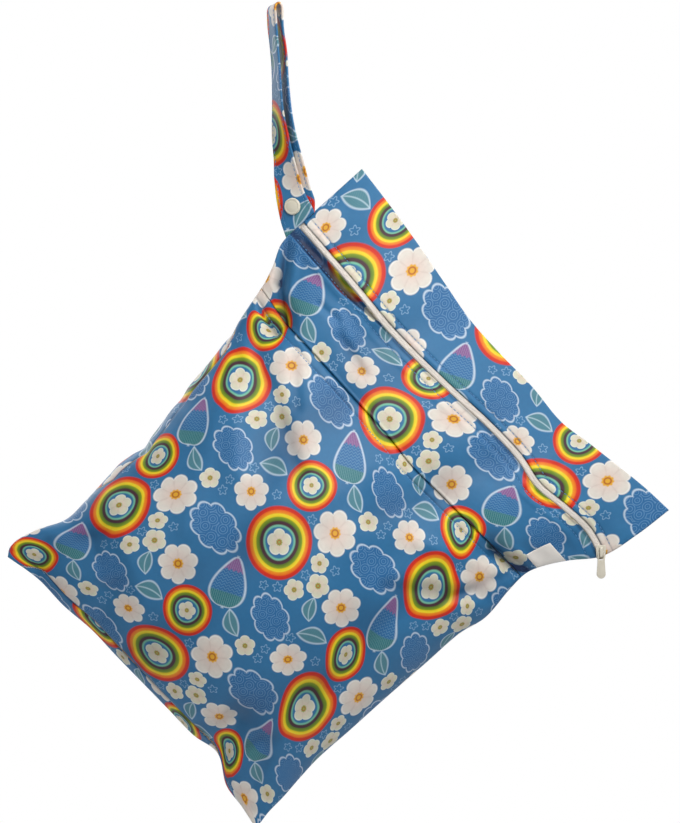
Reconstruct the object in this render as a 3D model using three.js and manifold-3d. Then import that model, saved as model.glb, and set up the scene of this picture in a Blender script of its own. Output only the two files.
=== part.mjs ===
// A cloth wet bag, stuffed and closed, that hangs by its snap strap from one upper corner.
// Millimetres, +Z up. The front faces -Y. The origin is the inside top of the strap's loop.
import * as THREE from "three";
import { mergeVertices } from "three/addons/utils/BufferGeometryUtils.js";
import Module from "manifold-3d";

// Cloth and the clearance between pieces that touch.
const CLOTH = 1.2;
const GAP = 0.3;

// The bag: its flat outline, its tilt as it hangs and how far its stuffing swells it.
const BAG_WIDTH = 306;
const BAG_HEIGHT = 347;
const BAG_TILT = 48;
const FRONT_FULLNESS = 58;
const BACK_FULLNESS = 42;
const TOP_DIP = 14;
const BOTTOM_RISE = 12;
const FOLD_DEPTH = 6;
const FOLD_WIDTH = 9;

// The zip: how far down the front it runs, how much it wanders, and its tape, coil and slot.
const ZIP_DOWN = 54;
const ZIP_WANDER = 5;
const COIL_WIDTH = 5.6;
const COIL_HEIGHT = 2;
const TAPE_WIDTH = 14;
const TAPE_THICK = 0.8;
const TAPE_CLEAR = 0.9;
const TAPE_INSET = 14;

// The pocket fold: the upper cloth laps over the lower cloth's edge.
const POCKET_DOWN = 105;
const POCKET_WANDER = 2.5;
const POCKET_LAP = 6;
const POCKET_STEP = 9;

// The strap: one strip that goes up, over and down, and its fall from the hanging point to its foot.
const STRAP_WIDTH = 20;
const STRAP_THICK = 1.8;
const STRAP_FALL = 144.7;
const STRAP_LEAN = 16.7;
const STRAP_FOOT_DOWN = 54.7;
const STRAP_FOOT_GAP = 0.7;
const LOOP_SPREAD = 8;
const LAYER_SHIFT = 5;

// The snap on the strap.
const SNAP_RADIUS = 5.7;
const SNAP_HEIGHT = 2.2;
const SNAP_UP = 11.4;

// The slider, its bridge and the pull that swings on it.
const SLIDER_INSET = 3.5;
const SLIDER_WIDTH = 7;
const SLIDER_LENGTH = 9.5;
const SLIDER_THICK = 2.4;
const BRIDGE_WIDTH = 2;
const BRIDGE_LENGTH = 6.4;
const BRIDGE_WALL = 0.9;
const BRIDGE_CLEAR = 2.2;
const PULL_LENGTH = 18;
const PULL_TOP_WIDTH = 4.8;
const PULL_END_WIDTH = 6;
const PULL_THICK = 1.4;
const PULL_BAR = 1;
const PULL_WINDOW_WIDTH = 2.8;
const PULL_WINDOW_LENGTH = 4.6;

// The bare tab in the right side seam.
const LABEL_DOWN = 84;
const LABEL_HEIGHT = 16;
const LABEL_REACH = 15;
const LABEL_THICK = 0.8;

// Mesh steps across and down the cloth, and along the strap.
const CLOTH_COLUMNS = 32;
const TOP_ROWS = 4;
const TAPE_ROWS = 4;
const BAND_ROWS = 8;
const LOWER_ROWS = 24;
const BACK_ROWS = 26;
const STRAP_STEPS = 56;
const ARC_STEPS = 8;
const SNAP_SIDES = 20;

// The bag at each distance down: side insets as shares of its width, swell as shares of each fullness.
const SECTIONS = [
  { down: 0.0, left: 0.0, right: 0.0, front: 0.0, back: 0.0 },
  { down: 0.08, left: 0.0, right: 0.007, front: 0.1, back: 0.07 },
  { down: 0.155, left: 0.0, right: 0.023, front: 0.21, back: 0.16 },
  { down: 0.21, left: 0.004, right: 0.066, front: 0.3, back: 0.26 },
  { down: 0.25, left: 0.027, right: 0.092, front: 0.36, back: 0.34 },
  { down: 0.285, left: 0.043, right: 0.106, front: 0.41, back: 0.42 },
  { down: 0.33, left: 0.056, right: 0.104, front: 0.52, back: 0.53 },
  { down: 0.4, left: 0.076, right: 0.094, front: 0.71, back: 0.7 },
  { down: 0.46, left: 0.09, right: 0.106, front: 0.84, back: 0.83 },
  { down: 0.54, left: 0.102, right: 0.107, front: 0.95, back: 0.94 },
  { down: 0.64, left: 0.126, right: 0.109, front: 1.0, back: 1.0 },
  { down: 0.74, left: 0.127, right: 0.109, front: 0.98, back: 0.98 },
  { down: 0.82, left: 0.135, right: 0.11, front: 0.89, back: 0.9 },
  { down: 0.87, left: 0.136, right: 0.105, front: 0.78, back: 0.79 },
  { down: 0.92, left: 0.112, right: 0.098, front: 0.58, back: 0.59 },
  { down: 0.96, left: 0.099, right: 0.095, front: 0.37, back: 0.38 },
  { down: 0.985, left: 0.1, right: 0.09, front: 0.2, back: 0.2 },
  { down: 1.0, left: 0.112, right: 0.088, front: 0.0, back: 0.0 },
];

// The bag's cross lines from its left edge to its right, each as shares of its own named depth.
const LINES = [
  { across: 0.0, top: 0.0, zip: 0.2, pocket: -0.8, bottom: -0.12 },
  { across: 0.1, top: 0.17, zip: 0.34, pocket: 0.4, bottom: 0.32 },
  { across: 0.2, top: 0.4, zip: 0.5, pocket: 0.4, bottom: 0.38 },
  { across: 0.3, top: 0.69, zip: 0.76, pocket: 0.4, bottom: 0.64 },
  { across: 0.4, top: 0.97, zip: 0.56, pocket: 0.4, bottom: 0.69 },
  { across: 0.5, top: 0.99, zip: 0.1, pocket: 0.4, bottom: 0.77 },
  { across: 0.6, top: 0.91, zip: -0.48, pocket: 1.0, bottom: 0.85 },
  { across: 0.7, top: 1.0, zip: -0.64, pocket: 0.4, bottom: 0.93 },
  { across: 0.78, top: 0.68, zip: 0.0, pocket: 0.0, bottom: 1.25 },
  { across: 0.86, top: 0.38, zip: -0.7, pocket: -0.6, bottom: 0.42 },
  { across: 0.93, top: 0.14, zip: -1.0, pocket: -0.8, bottom: 0.27 },
  { across: 1.0, top: 0.0, zip: -0.1, pocket: -1.0, bottom: 0.04 },
];

// Folds and dents: ends as shares of the bag's width and height, depth and width as shares of the fold's.
const FOLDS = [
  { name: "crease below the strap", side: 0.0, down: 0.2, toSide: 0.14, toDown: 0.33, depth: -1.0, width: 0.9 },
  { name: "ridge below the zip", side: 0.01, down: 0.186, toSide: 0.27, toDown: 0.175, depth: 0.3, width: 0.8 },
  { name: "left pinch", side: 0.04, down: 0.3, toSide: 0.13, toDown: 0.318, depth: -1.2, width: 0.8 },
  { name: "right pinch", side: 0.9, down: 0.285, toSide: 0.8, toDown: 0.3, depth: -1.3, width: 0.8 },
  { name: "hollow along the pocket", side: 0.15, down: 0.315, toSide: 0.8, toDown: 0.315, depth: -0.35, width: 0.9 },
  { name: "drag from the left pinch", side: 0.1, down: 0.34, toSide: 0.32, toDown: 0.5, depth: -0.6, width: 1.8 },
  { name: "drag from the right pinch", side: 0.86, down: 0.32, toSide: 0.68, toDown: 0.46, depth: -0.6, width: 1.8 },
  { name: "sag over the middle", side: 0.3, down: 0.42, toSide: 0.62, toDown: 0.38, depth: -0.35, width: 2.6 },
  { name: "dimple by the left ear", side: 0.35, down: 0.97, toSide: 0.32, toDown: 0.9, depth: -0.8, width: 1.1 },
  { name: "left ear hollow", side: 0.14, down: 0.97, toSide: 0.22, toDown: 0.88, depth: -0.7, width: 1.6 },
  { name: "notch by the right ear", side: 0.735, down: 0.97, toSide: 0.7, toDown: 0.88, depth: -1.2, width: 0.8 },
  { name: "right ear hollow", side: 0.88, down: 0.97, toSide: 0.8, toDown: 0.88, depth: -0.6, width: 1.6 },
];

// The strap from its foot (0) to the top of its loop (1): shares of its named sizes, and its turn in degrees.
const STRAP_SHAPE = [
  { up: 0.0, lean: 1.0, turn: 20, spread: 0.0, shift: 0.0, slant: 1.0 },
  { up: 0.06, lean: 0.8, turn: 20, spread: 0.0, shift: 0.7, slant: 0.8 },
  { up: 0.13, lean: 0.63, turn: 20, spread: 0.0, shift: 0.95, slant: 0.3 },
  { up: 0.19, lean: 0.54, turn: 29, spread: 0.0, shift: 1.0, slant: 0.0 },
  { up: 0.3, lean: 0.41, turn: 45, spread: 0.06, shift: 1.0, slant: 0.0 },
  { up: 0.41, lean: 0.3, turn: 60, spread: 0.45, shift: 0.8, slant: 0.0 },
  { up: 0.52, lean: 0.25, turn: 70, spread: 0.85, shift: 0.4, slant: 0.0 },
  { up: 0.63, lean: 0.22, turn: 76, spread: 1.0, shift: 0.15, slant: 0.0 },
  { up: 0.74, lean: 0.18, turn: 79, spread: 1.0, shift: 0.0, slant: 0.0 },
  { up: 0.85, lean: 0.1, turn: 80, spread: 1.0, shift: 0.0, slant: 0.0 },
  { up: 0.93, lean: 0.03, turn: 80, spread: 1.0, shift: 0.0, slant: 0.0 },
  { up: 1.0, lean: 0.0, turn: 80, spread: 1.0, shift: 0.0, slant: 0.0 },
];

const ARCH_POWER = 0.6;
const DEGREES = Math.PI / 180;
const wasm = await Module();
wasm.setup();

// A smooth curve through one column of a table, whose rows are in the order of their key column.
function readColumn(table, key, column, at) {
  const last = table.length - 1;
  const clamped = Math.min(Math.max(at, table[0][key]), table[last][key]);
  let i = 0;
  while (i < last - 1 && clamped > table[i + 1][key]) {
    i += 1;
  }
  const slopeAt = (k) => {
    const before = table[Math.max(k - 1, 0)];
    const after = table[Math.min(k + 1, last)];
    return (after[column] - before[column]) / (after[key] - before[key]);
  };
  const step = table[i + 1][key] - table[i][key];
  const f = (clamped - table[i][key]) / step;
  const rise = f * f * (3 - 2 * f);
  return (
    table[i][column] * (1 - rise) +
    table[i + 1][column] * rise +
    step * f * (1 - f) * (slopeAt(i) * (1 - f) - slopeAt(i + 1) * f)
  );
}

function smoothstep(low, high, value) {
  return THREE.MathUtils.smoothstep(value, low, high);
}

// The cross lines, as distances down from the bag's upper corners.
function topEdge(across) {
  return TOP_DIP * readColumn(LINES, "across", "top", across);
}

function bottomEdge(across) {
  return BAG_HEIGHT - BOTTOM_RISE * readColumn(LINES, "across", "bottom", across);
}

function zipLine(across) {
  return ZIP_DOWN + ZIP_WANDER * readColumn(LINES, "across", "zip", across);
}

function pocketLine(across) {
  return POCKET_DOWN + POCKET_WANDER * readColumn(LINES, "across", "pocket", across);
}

// How far along the bag's width a column stands: columns crowd towards the side seams.
function acrossOf(t) {
  return (1 - Math.cos(Math.PI * t)) / 2;
}

// How full a column is: 1 in the middle, 0 at both side seams.
function archOf(across) {
  const side = 2 * across - 1;
  return Math.pow(Math.max(1 - side * side, 0), ARCH_POWER);
}

// The sum of the folds near one place of the bag: a fold falls off with the distance from its line.
function foldsAt(u, v) {
  let sum = 0;
  for (const fold of FOLDS) {
    const startU = fold.side * BAG_WIDTH;
    const startV = fold.down * BAG_HEIGHT;
    const runU = fold.toSide * BAG_WIDTH - startU;
    const runV = fold.toDown * BAG_HEIGHT - startV;
    const along = ((u - startU) * runU + (v - startV) * runV) / (runU * runU + runV * runV);
    const nearest = Math.min(Math.max(along, 0), 1);
    const away = Math.hypot(u - startU - nearest * runU, v - startV - nearest * runV);
    const reach = fold.width * FOLD_WIDTH;
    sum += fold.depth * FOLD_DEPTH * Math.exp(-(away * away) / (reach * reach));
  }
  return sum;
}

// A place on the bag: face 1 is the front and -1 the back, v is the distance down,
// lift is the height above the cloth's outer face, inset draws the place in from the seams,
// and sink lowers the cloth as far as its swell allows.
function bagPoint(face, across, v, lift, inset, sink = 0) {
  const top = topEdge(across);
  const bottom = bottomEdge(across);
  const down = Math.min(Math.max((v - top) / (bottom - top), 0), 1);
  const left = BAG_WIDTH * readColumn(SECTIONS, "down", "left", down);
  const right = BAG_WIDTH * (1 - readColumn(SECTIONS, "down", "right", down));
  const u = left + (right - left) * across;
  const arch = archOf(across);
  const fullness = face > 0 ? FRONT_FULLNESS : BACK_FULLNESS;
  const swell = fullness * readColumn(SECTIONS, "down", face > 0 ? "front" : "back", down);
  const fold = foldsAt(u, v) * Math.min(1, swell / fullness / 0.2);
  const depth = Math.max(swell * arch + fold * Math.min(1, arch * 2) - sink, 0);
  const height = GAP / 2 + CLOTH + depth + lift;
  const drawn = inset * Math.pow(down, 3);
  return new THREE.Vector3(u - inset * (2 * across - 1), -face * height, drawn - v);
}

// A body from vertices and faces, turned right way out.
function closedBody(points, faces) {
  const position = new Float32Array(points.length * 3);
  points.forEach((point, i) => point.toArray(position, i * 3));
  let volume = 0;
  for (const [a, b, c] of faces) {
    volume += points[a].dot(new THREE.Vector3().crossVectors(points[b], points[c]));
  }
  const outward = volume < 0 ? faces.map(([a, b, c]) => [a, c, b]) : faces;
  const geometry = new THREE.BufferGeometry();
  geometry.setAttribute("position", new THREE.BufferAttribute(position, 3));
  geometry.setIndex(outward.flat());
  geometry.computeVertexNormals();
  return geometry;
}

// A thin body between two grids of places, such as the two faces of a cloth.
function slab(columns, rows, outer, inner) {
  const points = [];
  for (const surface of [outer, inner]) {
    for (let j = 0; j <= rows; j += 1) {
      for (let i = 0; i <= columns; i += 1) {
        points.push(surface(i / columns, j / rows));
      }
    }
  }
  const layer = (columns + 1) * (rows + 1);
  const at = (i, j) => j * (columns + 1) + i;
  const faces = [];
  for (let j = 0; j < rows; j += 1) {
    for (let i = 0; i < columns; i += 1) {
      const corners = [at(i, j), at(i + 1, j), at(i + 1, j + 1), at(i, j + 1)];
      faces.push([corners[0], corners[1], corners[2]], [corners[0], corners[2], corners[3]]);
      const below = corners.map((corner) => corner + layer);
      faces.push([below[0], below[2], below[1]], [below[0], below[3], below[2]]);
    }
  }
  const rim = [];
  for (let i = 0; i < columns; i += 1) {
    rim.push([at(i, 0), at(i + 1, 0)]);
  }
  for (let j = 0; j < rows; j += 1) {
    rim.push([at(columns, j), at(columns, j + 1)]);
  }
  for (let i = columns; i > 0; i -= 1) {
    rim.push([at(i, rows), at(i - 1, rows)]);
  }
  for (let j = rows; j > 0; j -= 1) {
    rim.push([at(0, j), at(0, j - 1)]);
  }
  for (const [a, b] of rim) {
    faces.push([b, a, a + layer], [b, a + layer, b + layer]);
  }
  return closedBody(points, faces);
}

// One cloth panel of the bag in rows from top to bottom. The sunk height tucks it under its neighbour.
function clothPanel(face, rows, rowDown, sunk) {
  const place = (inner) => (t, q) => {
    const across = acrossOf(t);
    const v = rowDown(across, q);
    return bagPoint(face, across, v, inner ? -CLOTH : 0, inner ? CLOTH : 0, sunk(across, v));
  };
  return slab(CLOTH_COLUMNS, rows, place(false), place(true));
}

// Rows between two cross lines, by a spacing that can crowd them towards an end.
function rowsBetween(upper, lower, spacing) {
  return (across, q) => upper(across) + (lower(across) - upper(across)) * spacing(q);
}

const even = (q) => q;
const closerBelow = (q) => Math.sin((q * Math.PI) / 2);
const closerAtBothEnds = (q) => 0.5 * q + 0.25 * (1 - Math.cos(Math.PI * q));
const notSunk = () => 0;
const SLOT_WIDTH = COIL_WIDTH + 4 * GAP;

function topPanel() {
  const lower = (across) => zipLine(across) - SLOT_WIDTH / 2;
  return clothPanel(1, TOP_ROWS, rowsBetween(topEdge, lower, even), notSunk);
}

function zipBand() {
  const upper = (across) => zipLine(across) + SLOT_WIDTH / 2;
  const lapStart = (across) => pocketLine(across) - POCKET_LAP;
  const body = rowsBetween(upper, lapStart, even);
  const rowDown = (across, q) => {
    const atFold = q > 1 - 0.5 / BAND_ROWS;
    return atFold ? pocketLine(across) : body(across, (q * BAND_ROWS) / (BAND_ROWS - 1));
  };
  return clothPanel(1, BAND_ROWS, rowDown, notSunk);
}

// The lower cloth goes up behind the pocket fold, apart from its ends, which meet the fold edge to edge.
function lowerFront() {
  const lapShare = (across) => smoothstep(0.62, 0.8, archOf(across));
  const sinkShare = (across) => smoothstep(0.3, 0.6, archOf(across));
  const upper = (a) => pocketLine(a) + GAP - (POCKET_LAP + GAP) * lapShare(a);
  const sunk = (a, v) => {
    const past = smoothstep(pocketLine(a) + 2 * GAP, pocketLine(a) + POCKET_STEP, v);
    return (CLOTH + 3 * GAP) * sinkShare(a) * (1 - past);
  };
  const rowDown = (a, q) => {
    const row = Math.round(q * LOWER_ROWS);
    if (row < 3) {
      return [upper(a), pocketLine(a) + 2 * GAP, pocketLine(a) + POCKET_STEP][row];
    }
    const start = pocketLine(a) + POCKET_STEP;
    return start + (bottomEdge(a) - start) * closerBelow((row - 2) / (LOWER_ROWS - 2));
  };
  return clothPanel(1, LOWER_ROWS, rowDown, sunk);
}

function backPanel() {
  return clothPanel(-1, BACK_ROWS, rowsBetween(topEdge, bottomEdge, closerAtBothEnds), notSunk);
}

// The zip's tape and coil follow the front cloth from seam to seam.
const ZIP_START = 0.02;

function zipTape() {
  const top = -(CLOTH + TAPE_CLEAR);
  const start = TAPE_INSET / BAG_WIDTH;
  const place = (lift) => (t, q) => {
    const across = start + (1 - 2 * start) * acrossOf(t);
    return bagPoint(1, across, zipLine(across) + (q - 0.5) * TAPE_WIDTH, lift, CLOTH);
  };
  return slab(CLOTH_COLUMNS, TAPE_ROWS, place(top), place(top - TAPE_THICK));
}

// The slider hangs upright at the zip's right end, so it is placed in the row's own frame.
const corner = new THREE.Vector3();
const tilt = new THREE.Quaternion().setFromAxisAngle(new THREE.Vector3(0, 1, 0), BAG_TILT * DEGREES);
const foot = new THREE.Vector3(STRAP_LEAN, 0, -STRAP_FALL);
corner.copy(foot).sub(new THREE.Vector3(-STRAP_FOOT_GAP, 0, -STRAP_FOOT_DOWN).applyQuaternion(tilt));

function hung(point) {
  return point.clone().applyQuaternion(tilt).add(corner);
}

const zipShare = ZIP_DOWN / BAG_HEIGHT;
const zipRight = BAG_WIDTH * (1 - readColumn(SECTIONS, "down", "right", zipShare));
const sliderAcross = 1 - SLIDER_INSET / zipRight;
const sliderPlace = hung(bagPoint(1, sliderAcross, zipLine(sliderAcross), 0, 0));
const sliderReach = Math.hypot(SLIDER_WIDTH, SLIDER_LENGTH) / 2;
const coilEnd = 1 - (SLIDER_INSET + sliderReach + GAP) / zipRight;
const underSlider = bagPoint(1, coilEnd, zipLine(coilEnd), 0, 0);
const sliderBack = underSlider.y - GAP;

function zipCoil() {
  const base = -CLOTH;
  const place = (outer) => (t, q) => {
    const across = ZIP_START + (coilEnd - ZIP_START) * acrossOf(t);
    const round = outer ? COIL_HEIGHT * Math.sqrt(Math.max(1 - (2 * q - 1) ** 2, 0)) : 0;
    const flat = outer ? GAP : 0;
    return bagPoint(1, across, zipLine(across) + (q - 0.5) * COIL_WIDTH, base + round + flat, 0);
  };
  return slab(CLOTH_COLUMNS, 4, place(true), place(false));
}

// The strap's station at one height: where each layer's middle is, its width and its outward side.
function strapStation(up, layer) {
  const turn = readColumn(STRAP_SHAPE, "up", "turn", up) * DEGREES;
  const width = new THREE.Vector3(Math.cos(turn), -Math.sin(turn), 0);
  const spreadWay = new THREE.Vector3(Math.sin(turn), Math.cos(turn), 0);
  const arcHeight = LOOP_SPREAD / 2 - STRAP_THICK / 2;
  const lean = STRAP_LEAN * readColumn(STRAP_SHAPE, "up", "lean", up);
  const middle = new THREE.Vector3(lean, 0, -STRAP_FALL + (STRAP_FALL - arcHeight) * up);
  const lying = STRAP_THICK + GAP;
  const spread = lying + (LOOP_SPREAD - lying) * readColumn(STRAP_SHAPE, "up", "spread", up);
  middle.addScaledVector(spreadWay, (layer * spread) / 2);
  const shift = LAYER_SHIFT * readColumn(STRAP_SHAPE, "up", "shift", up);
  middle.addScaledVector(width, layer > 0 ? shift : 0);
  const slant = readColumn(STRAP_SHAPE, "up", "slant", up) / Math.tan(BAG_TILT * DEGREES);
  return { middle, width, spreadWay, slant };
}

// Stations all the way: up the back layer, over the top in a half circle and down the front layer.
function strapStations() {
  const stations = [];
  for (let i = 0; i < STRAP_STEPS; i += 1) {
    stations.push(strapStation(i / STRAP_STEPS, 1));
  }
  for (let i = 0; i <= ARC_STEPS; i += 1) {
    const angle = (Math.PI * i) / ARC_STEPS;
    const top = strapStation(1, 0);
    top.middle.addScaledVector(top.spreadWay, (LOOP_SPREAD / 2) * Math.cos(angle));
    top.middle.z += (LOOP_SPREAD / 2) * Math.sin(angle);
    stations.push(top);
  }
  for (let i = STRAP_STEPS - 1; i >= 0; i -= 1) {
    stations.push(strapStation(i / STRAP_STEPS, -1));
  }
  return stations;
}

function strapBody() {
  const stations = strapStations();
  const points = [];
  stations.forEach((station, i) => {
    const before = stations[Math.max(i - 1, 0)].middle;
    const after = stations[Math.min(i + 1, stations.length - 1)].middle;
    const outward = new THREE.Vector3().subVectors(after, before).cross(station.width).normalize();
    const half = station.width.clone().multiplyScalar(STRAP_WIDTH / 2);
    half.z = half.x * station.slant;
    for (const [across, out] of [[-1, -1], [1, -1], [1, 1], [-1, 1]]) {
      const place = station.middle.clone().addScaledVector(half, across);
      points.push(place.addScaledVector(outward, (out * STRAP_THICK) / 2));
    }
  });
  const faces = [[0, 1, 2], [0, 2, 3]];
  const end = points.length - 4;
  faces.push([end, end + 2, end + 1], [end, end + 3, end + 2]);
  for (let i = 0; i < stations.length - 1; i += 1) {
    for (let k = 0; k < 4; k += 1) {
      const a = i * 4 + k;
      const b = i * 4 + ((k + 1) % 4);
      faces.push([a, a + 4, b + 4], [a, b + 4, b]);
    }
  }
  return closedBody(points, faces);
}

// A snap cap: a low dome with a rolled edge, turned about its own axis.
function snapDome() {
  const profile = [
    new THREE.Vector2(0, 0),
    new THREE.Vector2(SNAP_RADIUS * 0.93, 0),
    new THREE.Vector2(SNAP_RADIUS, SNAP_HEIGHT * 0.25),
    new THREE.Vector2(SNAP_RADIUS * 0.97, SNAP_HEIGHT * 0.6),
    new THREE.Vector2(SNAP_RADIUS * 0.8, SNAP_HEIGHT * 0.88),
    new THREE.Vector2(SNAP_RADIUS * 0.4, SNAP_HEIGHT),
    new THREE.Vector2(0, SNAP_HEIGHT),
  ];
  return new THREE.LatheGeometry(profile, SNAP_SIDES);
}

function snapMesh(name, layer, material) {
  const up = SNAP_UP / STRAP_FALL;
  const step = 0.5 / STRAP_STEPS;
  const here = strapStation(up, layer);
  const rise = strapStation(up + step, layer).middle.sub(strapStation(up - step, layer).middle);
  const outward = rise.cross(here.width).normalize().multiplyScalar(layer);
  const mesh = new THREE.Mesh(snapDome(), material);
  mesh.name = name;
  mesh.quaternion.setFromUnitVectors(new THREE.Vector3(0, 1, 0), outward);
  mesh.position.copy(strapStation(up, -1).middle);
  const toLayer = here.middle.clone().sub(mesh.position).dot(outward);
  mesh.position.addScaledVector(outward, toLayer + STRAP_THICK / 2 + GAP);
  return mesh;
}

// Joins closed geometries into one body.
function joined(geometries) {
  const solids = geometries.map((geometry) => {
    const bare = geometry.clone();
    bare.deleteAttribute("normal");
    bare.deleteAttribute("uv");
    const merged = mergeVertices(bare, 1e-4);
    return new wasm.Manifold(
      new wasm.Mesh({
        numProp: 3,
        vertProperties: new Float32Array(merged.attributes.position.array),
        triVerts: new Uint32Array(merged.index.array),
      }),
    );
  });
  const mesh = solids.reduce((whole, next) => whole.add(next)).getMesh();
  const geometry = new THREE.BufferGeometry();
  geometry.setAttribute("position", new THREE.BufferAttribute(mesh.vertProperties, 3));
  geometry.setIndex(new THREE.BufferAttribute(mesh.triVerts, 1));
  geometry.computeVertexNormals();
  return geometry;
}

// Stands a flat shape up: its x stays, its y goes up and its thickness comes towards the front.
function standing(shape, depth) {
  const geometry = new THREE.ExtrudeGeometry(shape, { depth, bevelEnabled: false, curveSegments: 6 });
  return geometry.rotateX(Math.PI / 2);
}

// The slider: a shield-shaped body and the bridge that holds the pull, its hinge line at height 0.
function sliderBody() {
  const half = SLIDER_WIDTH / 2;
  const end = SLIDER_LENGTH / 2;
  const outline = new THREE.Shape();
  outline.moveTo(-half, end * 0.7);
  outline.quadraticCurveTo(-half, end, -half * 0.6, end);
  outline.lineTo(half * 0.6, end);
  outline.quadraticCurveTo(half, end, half, end * 0.7);
  outline.lineTo(half * 0.8, -end * 0.8);
  outline.quadraticCurveTo(half * 0.7, -end, half * 0.4, -end);
  outline.lineTo(-half * 0.4, -end);
  outline.quadraticCurveTo(-half * 0.7, -end, -half * 0.8, -end * 0.8);
  outline.closePath();
  const body = standing(outline, SLIDER_THICK);

  const reach = BRIDGE_CLEAR + BRIDGE_WALL;
  const halfBridge = BRIDGE_LENGTH / 2;
  const sink = SLIDER_THICK / 2;
  const bridge = new THREE.Shape();
  bridge.moveTo(-sink, -halfBridge);
  bridge.lineTo(reach - BRIDGE_WALL, -halfBridge);
  bridge.quadraticCurveTo(reach, -halfBridge, reach, -halfBridge + BRIDGE_WALL);
  bridge.lineTo(reach, halfBridge - BRIDGE_WALL);
  bridge.quadraticCurveTo(reach, halfBridge, reach - BRIDGE_WALL, halfBridge);
  bridge.lineTo(-sink, halfBridge);
  bridge.lineTo(-sink, halfBridge - BRIDGE_WALL);
  bridge.lineTo(BRIDGE_CLEAR, halfBridge - BRIDGE_WALL);
  bridge.lineTo(BRIDGE_CLEAR, -halfBridge + BRIDGE_WALL);
  bridge.lineTo(-sink, -halfBridge + BRIDGE_WALL);
  bridge.closePath();
  const side = new THREE.ExtrudeGeometry(bridge, { depth: BRIDGE_WIDTH, bevelEnabled: false });
  side.translate(0, 0, -BRIDGE_WIDTH / 2);
  const turned = new THREE.Matrix4().makeBasis(
    new THREE.Vector3(0, -1, 0),
    new THREE.Vector3(0, 0, 1),
    new THREE.Vector3(-1, 0, 0),
  );
  side.applyMatrix4(turned);
  side.translate(0, -SLIDER_THICK, 0);
  return joined([body, side]);
}

// The pull hangs from its bar, whose middle is the hinge line. Its window goes round the bridge.
function pullBody() {
  const top = PULL_BAR / 2;
  const halfTop = PULL_TOP_WIDTH / 2;
  const halfEnd = PULL_END_WIDTH / 2;
  const endCentre = top - PULL_LENGTH + halfEnd;
  const windowEnd = top - PULL_BAR - PULL_WINDOW_LENGTH;
  const shoulder = windowEnd - PULL_BAR;
  const outline = new THREE.Shape();
  outline.moveTo(-halfTop, top);
  outline.lineTo(-halfTop, shoulder);
  for (let i = 0; i <= ARC_STEPS; i += 1) {
    const angle = Math.PI * (1 + i / ARC_STEPS);
    outline.lineTo(halfEnd * Math.cos(angle), endCentre + halfEnd * Math.sin(angle));
  }
  outline.lineTo(halfTop, shoulder);
  outline.lineTo(halfTop, top);
  const halfWindow = PULL_WINDOW_WIDTH / 2;
  const window = new THREE.Path();
  window.moveTo(-halfWindow, top - PULL_BAR);
  window.lineTo(halfWindow, top - PULL_BAR);
  window.lineTo(halfWindow, windowEnd);
  window.lineTo(-halfWindow, windowEnd);
  outline.holes.push(window);
  return joined([standing(outline, PULL_THICK)]);
}

// The bare tab lies on the front cloth, its outer edge in the right side seam.
function sideLabel() {
  const upper = LABEL_DOWN - LABEL_HEIGHT / 2;
  const share = LABEL_DOWN / BAG_HEIGHT;
  const edge = BAG_WIDTH * (1 - readColumn(SECTIONS, "down", "right", share));
  const place = (lift) => (t, q) => {
    const across = 1 - (LABEL_REACH / edge) * (1 - t) - (GAP / edge) * 2;
    const point = bagPoint(1, across, upper + LABEL_HEIGHT * q, lift, 0);
    point.x += GAP;
    return point;
  };
  return slab(5, 4, place(2 * GAP + LABEL_THICK), place(2 * GAP));
}

// Materials of the real pieces.
function finish(color, roughness) {
  return new THREE.MeshStandardMaterial({ color, roughness, metalness: 0 });
}

const printedCloth = finish(0x3f7fb5, 0.62);
const creamZip = finish(0xddd5c4, 0.55);
const ivoryPlastic = finish(0xe4dccb, 0.35);
const whiteTab = finish(0xf1eeec, 0.8);

function named(name, geometry, material) {
  const mesh = new THREE.Mesh(geometry, material.clone());
  mesh.name = name;
  return mesh;
}

// Everything sewn into the tilted bag.
const bag = new THREE.Group();
bag.position.copy(corner);
bag.quaternion.copy(tilt);
bag.add(named("top_panel", topPanel(), printedCloth));
bag.add(named("zip_band", zipBand(), printedCloth));
bag.add(named("lower_front", lowerFront(), printedCloth));
bag.add(named("back_panel", backPanel(), printedCloth));
bag.add(named("zip_tape", zipTape(), creamZip));
bag.add(named("zip_coil", zipCoil(), creamZip));
bag.add(named("side_label", sideLabel(), whiteTab));

// The slider and its pull hang upright at the zip's end.
const slider = named("zip_slider", sliderBody(), ivoryPlastic);
slider.position.set(sliderPlace.x, sliderBack, sliderPlace.z);
const pull = named("zip_pull", pullBody(), ivoryPlastic);
const hingeOut = SLIDER_THICK + BRIDGE_CLEAR / 2;
pull.position.set(sliderPlace.x, sliderBack - hingeOut + PULL_THICK / 2, sliderPlace.z);

const group = new THREE.Group();
group.add(bag);
group.add(slider);
group.add(pull);
group.add(named("strap", strapBody(), printedCloth));
group.add(snapMesh("snap_cap", -1, ivoryPlastic.clone()));
group.add(snapMesh("snap_back", 1, ivoryPlastic.clone()));

export default group;
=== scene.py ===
# %% [markdown]
# # A stuffed cloth bag that hangs by its strap
# The real thing is sewn from one smooth printed cloth: a front with a zip near its top and a
# pocket fold below the zip, a plain back, and a strap that snaps round a hook. It hangs from one
# upper corner, so the whole bag is turned 48 degrees. The cloth here is made of surfaces worked
# out with numpy, because a formula keeps every seam on the line where the next piece expects it.

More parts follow.
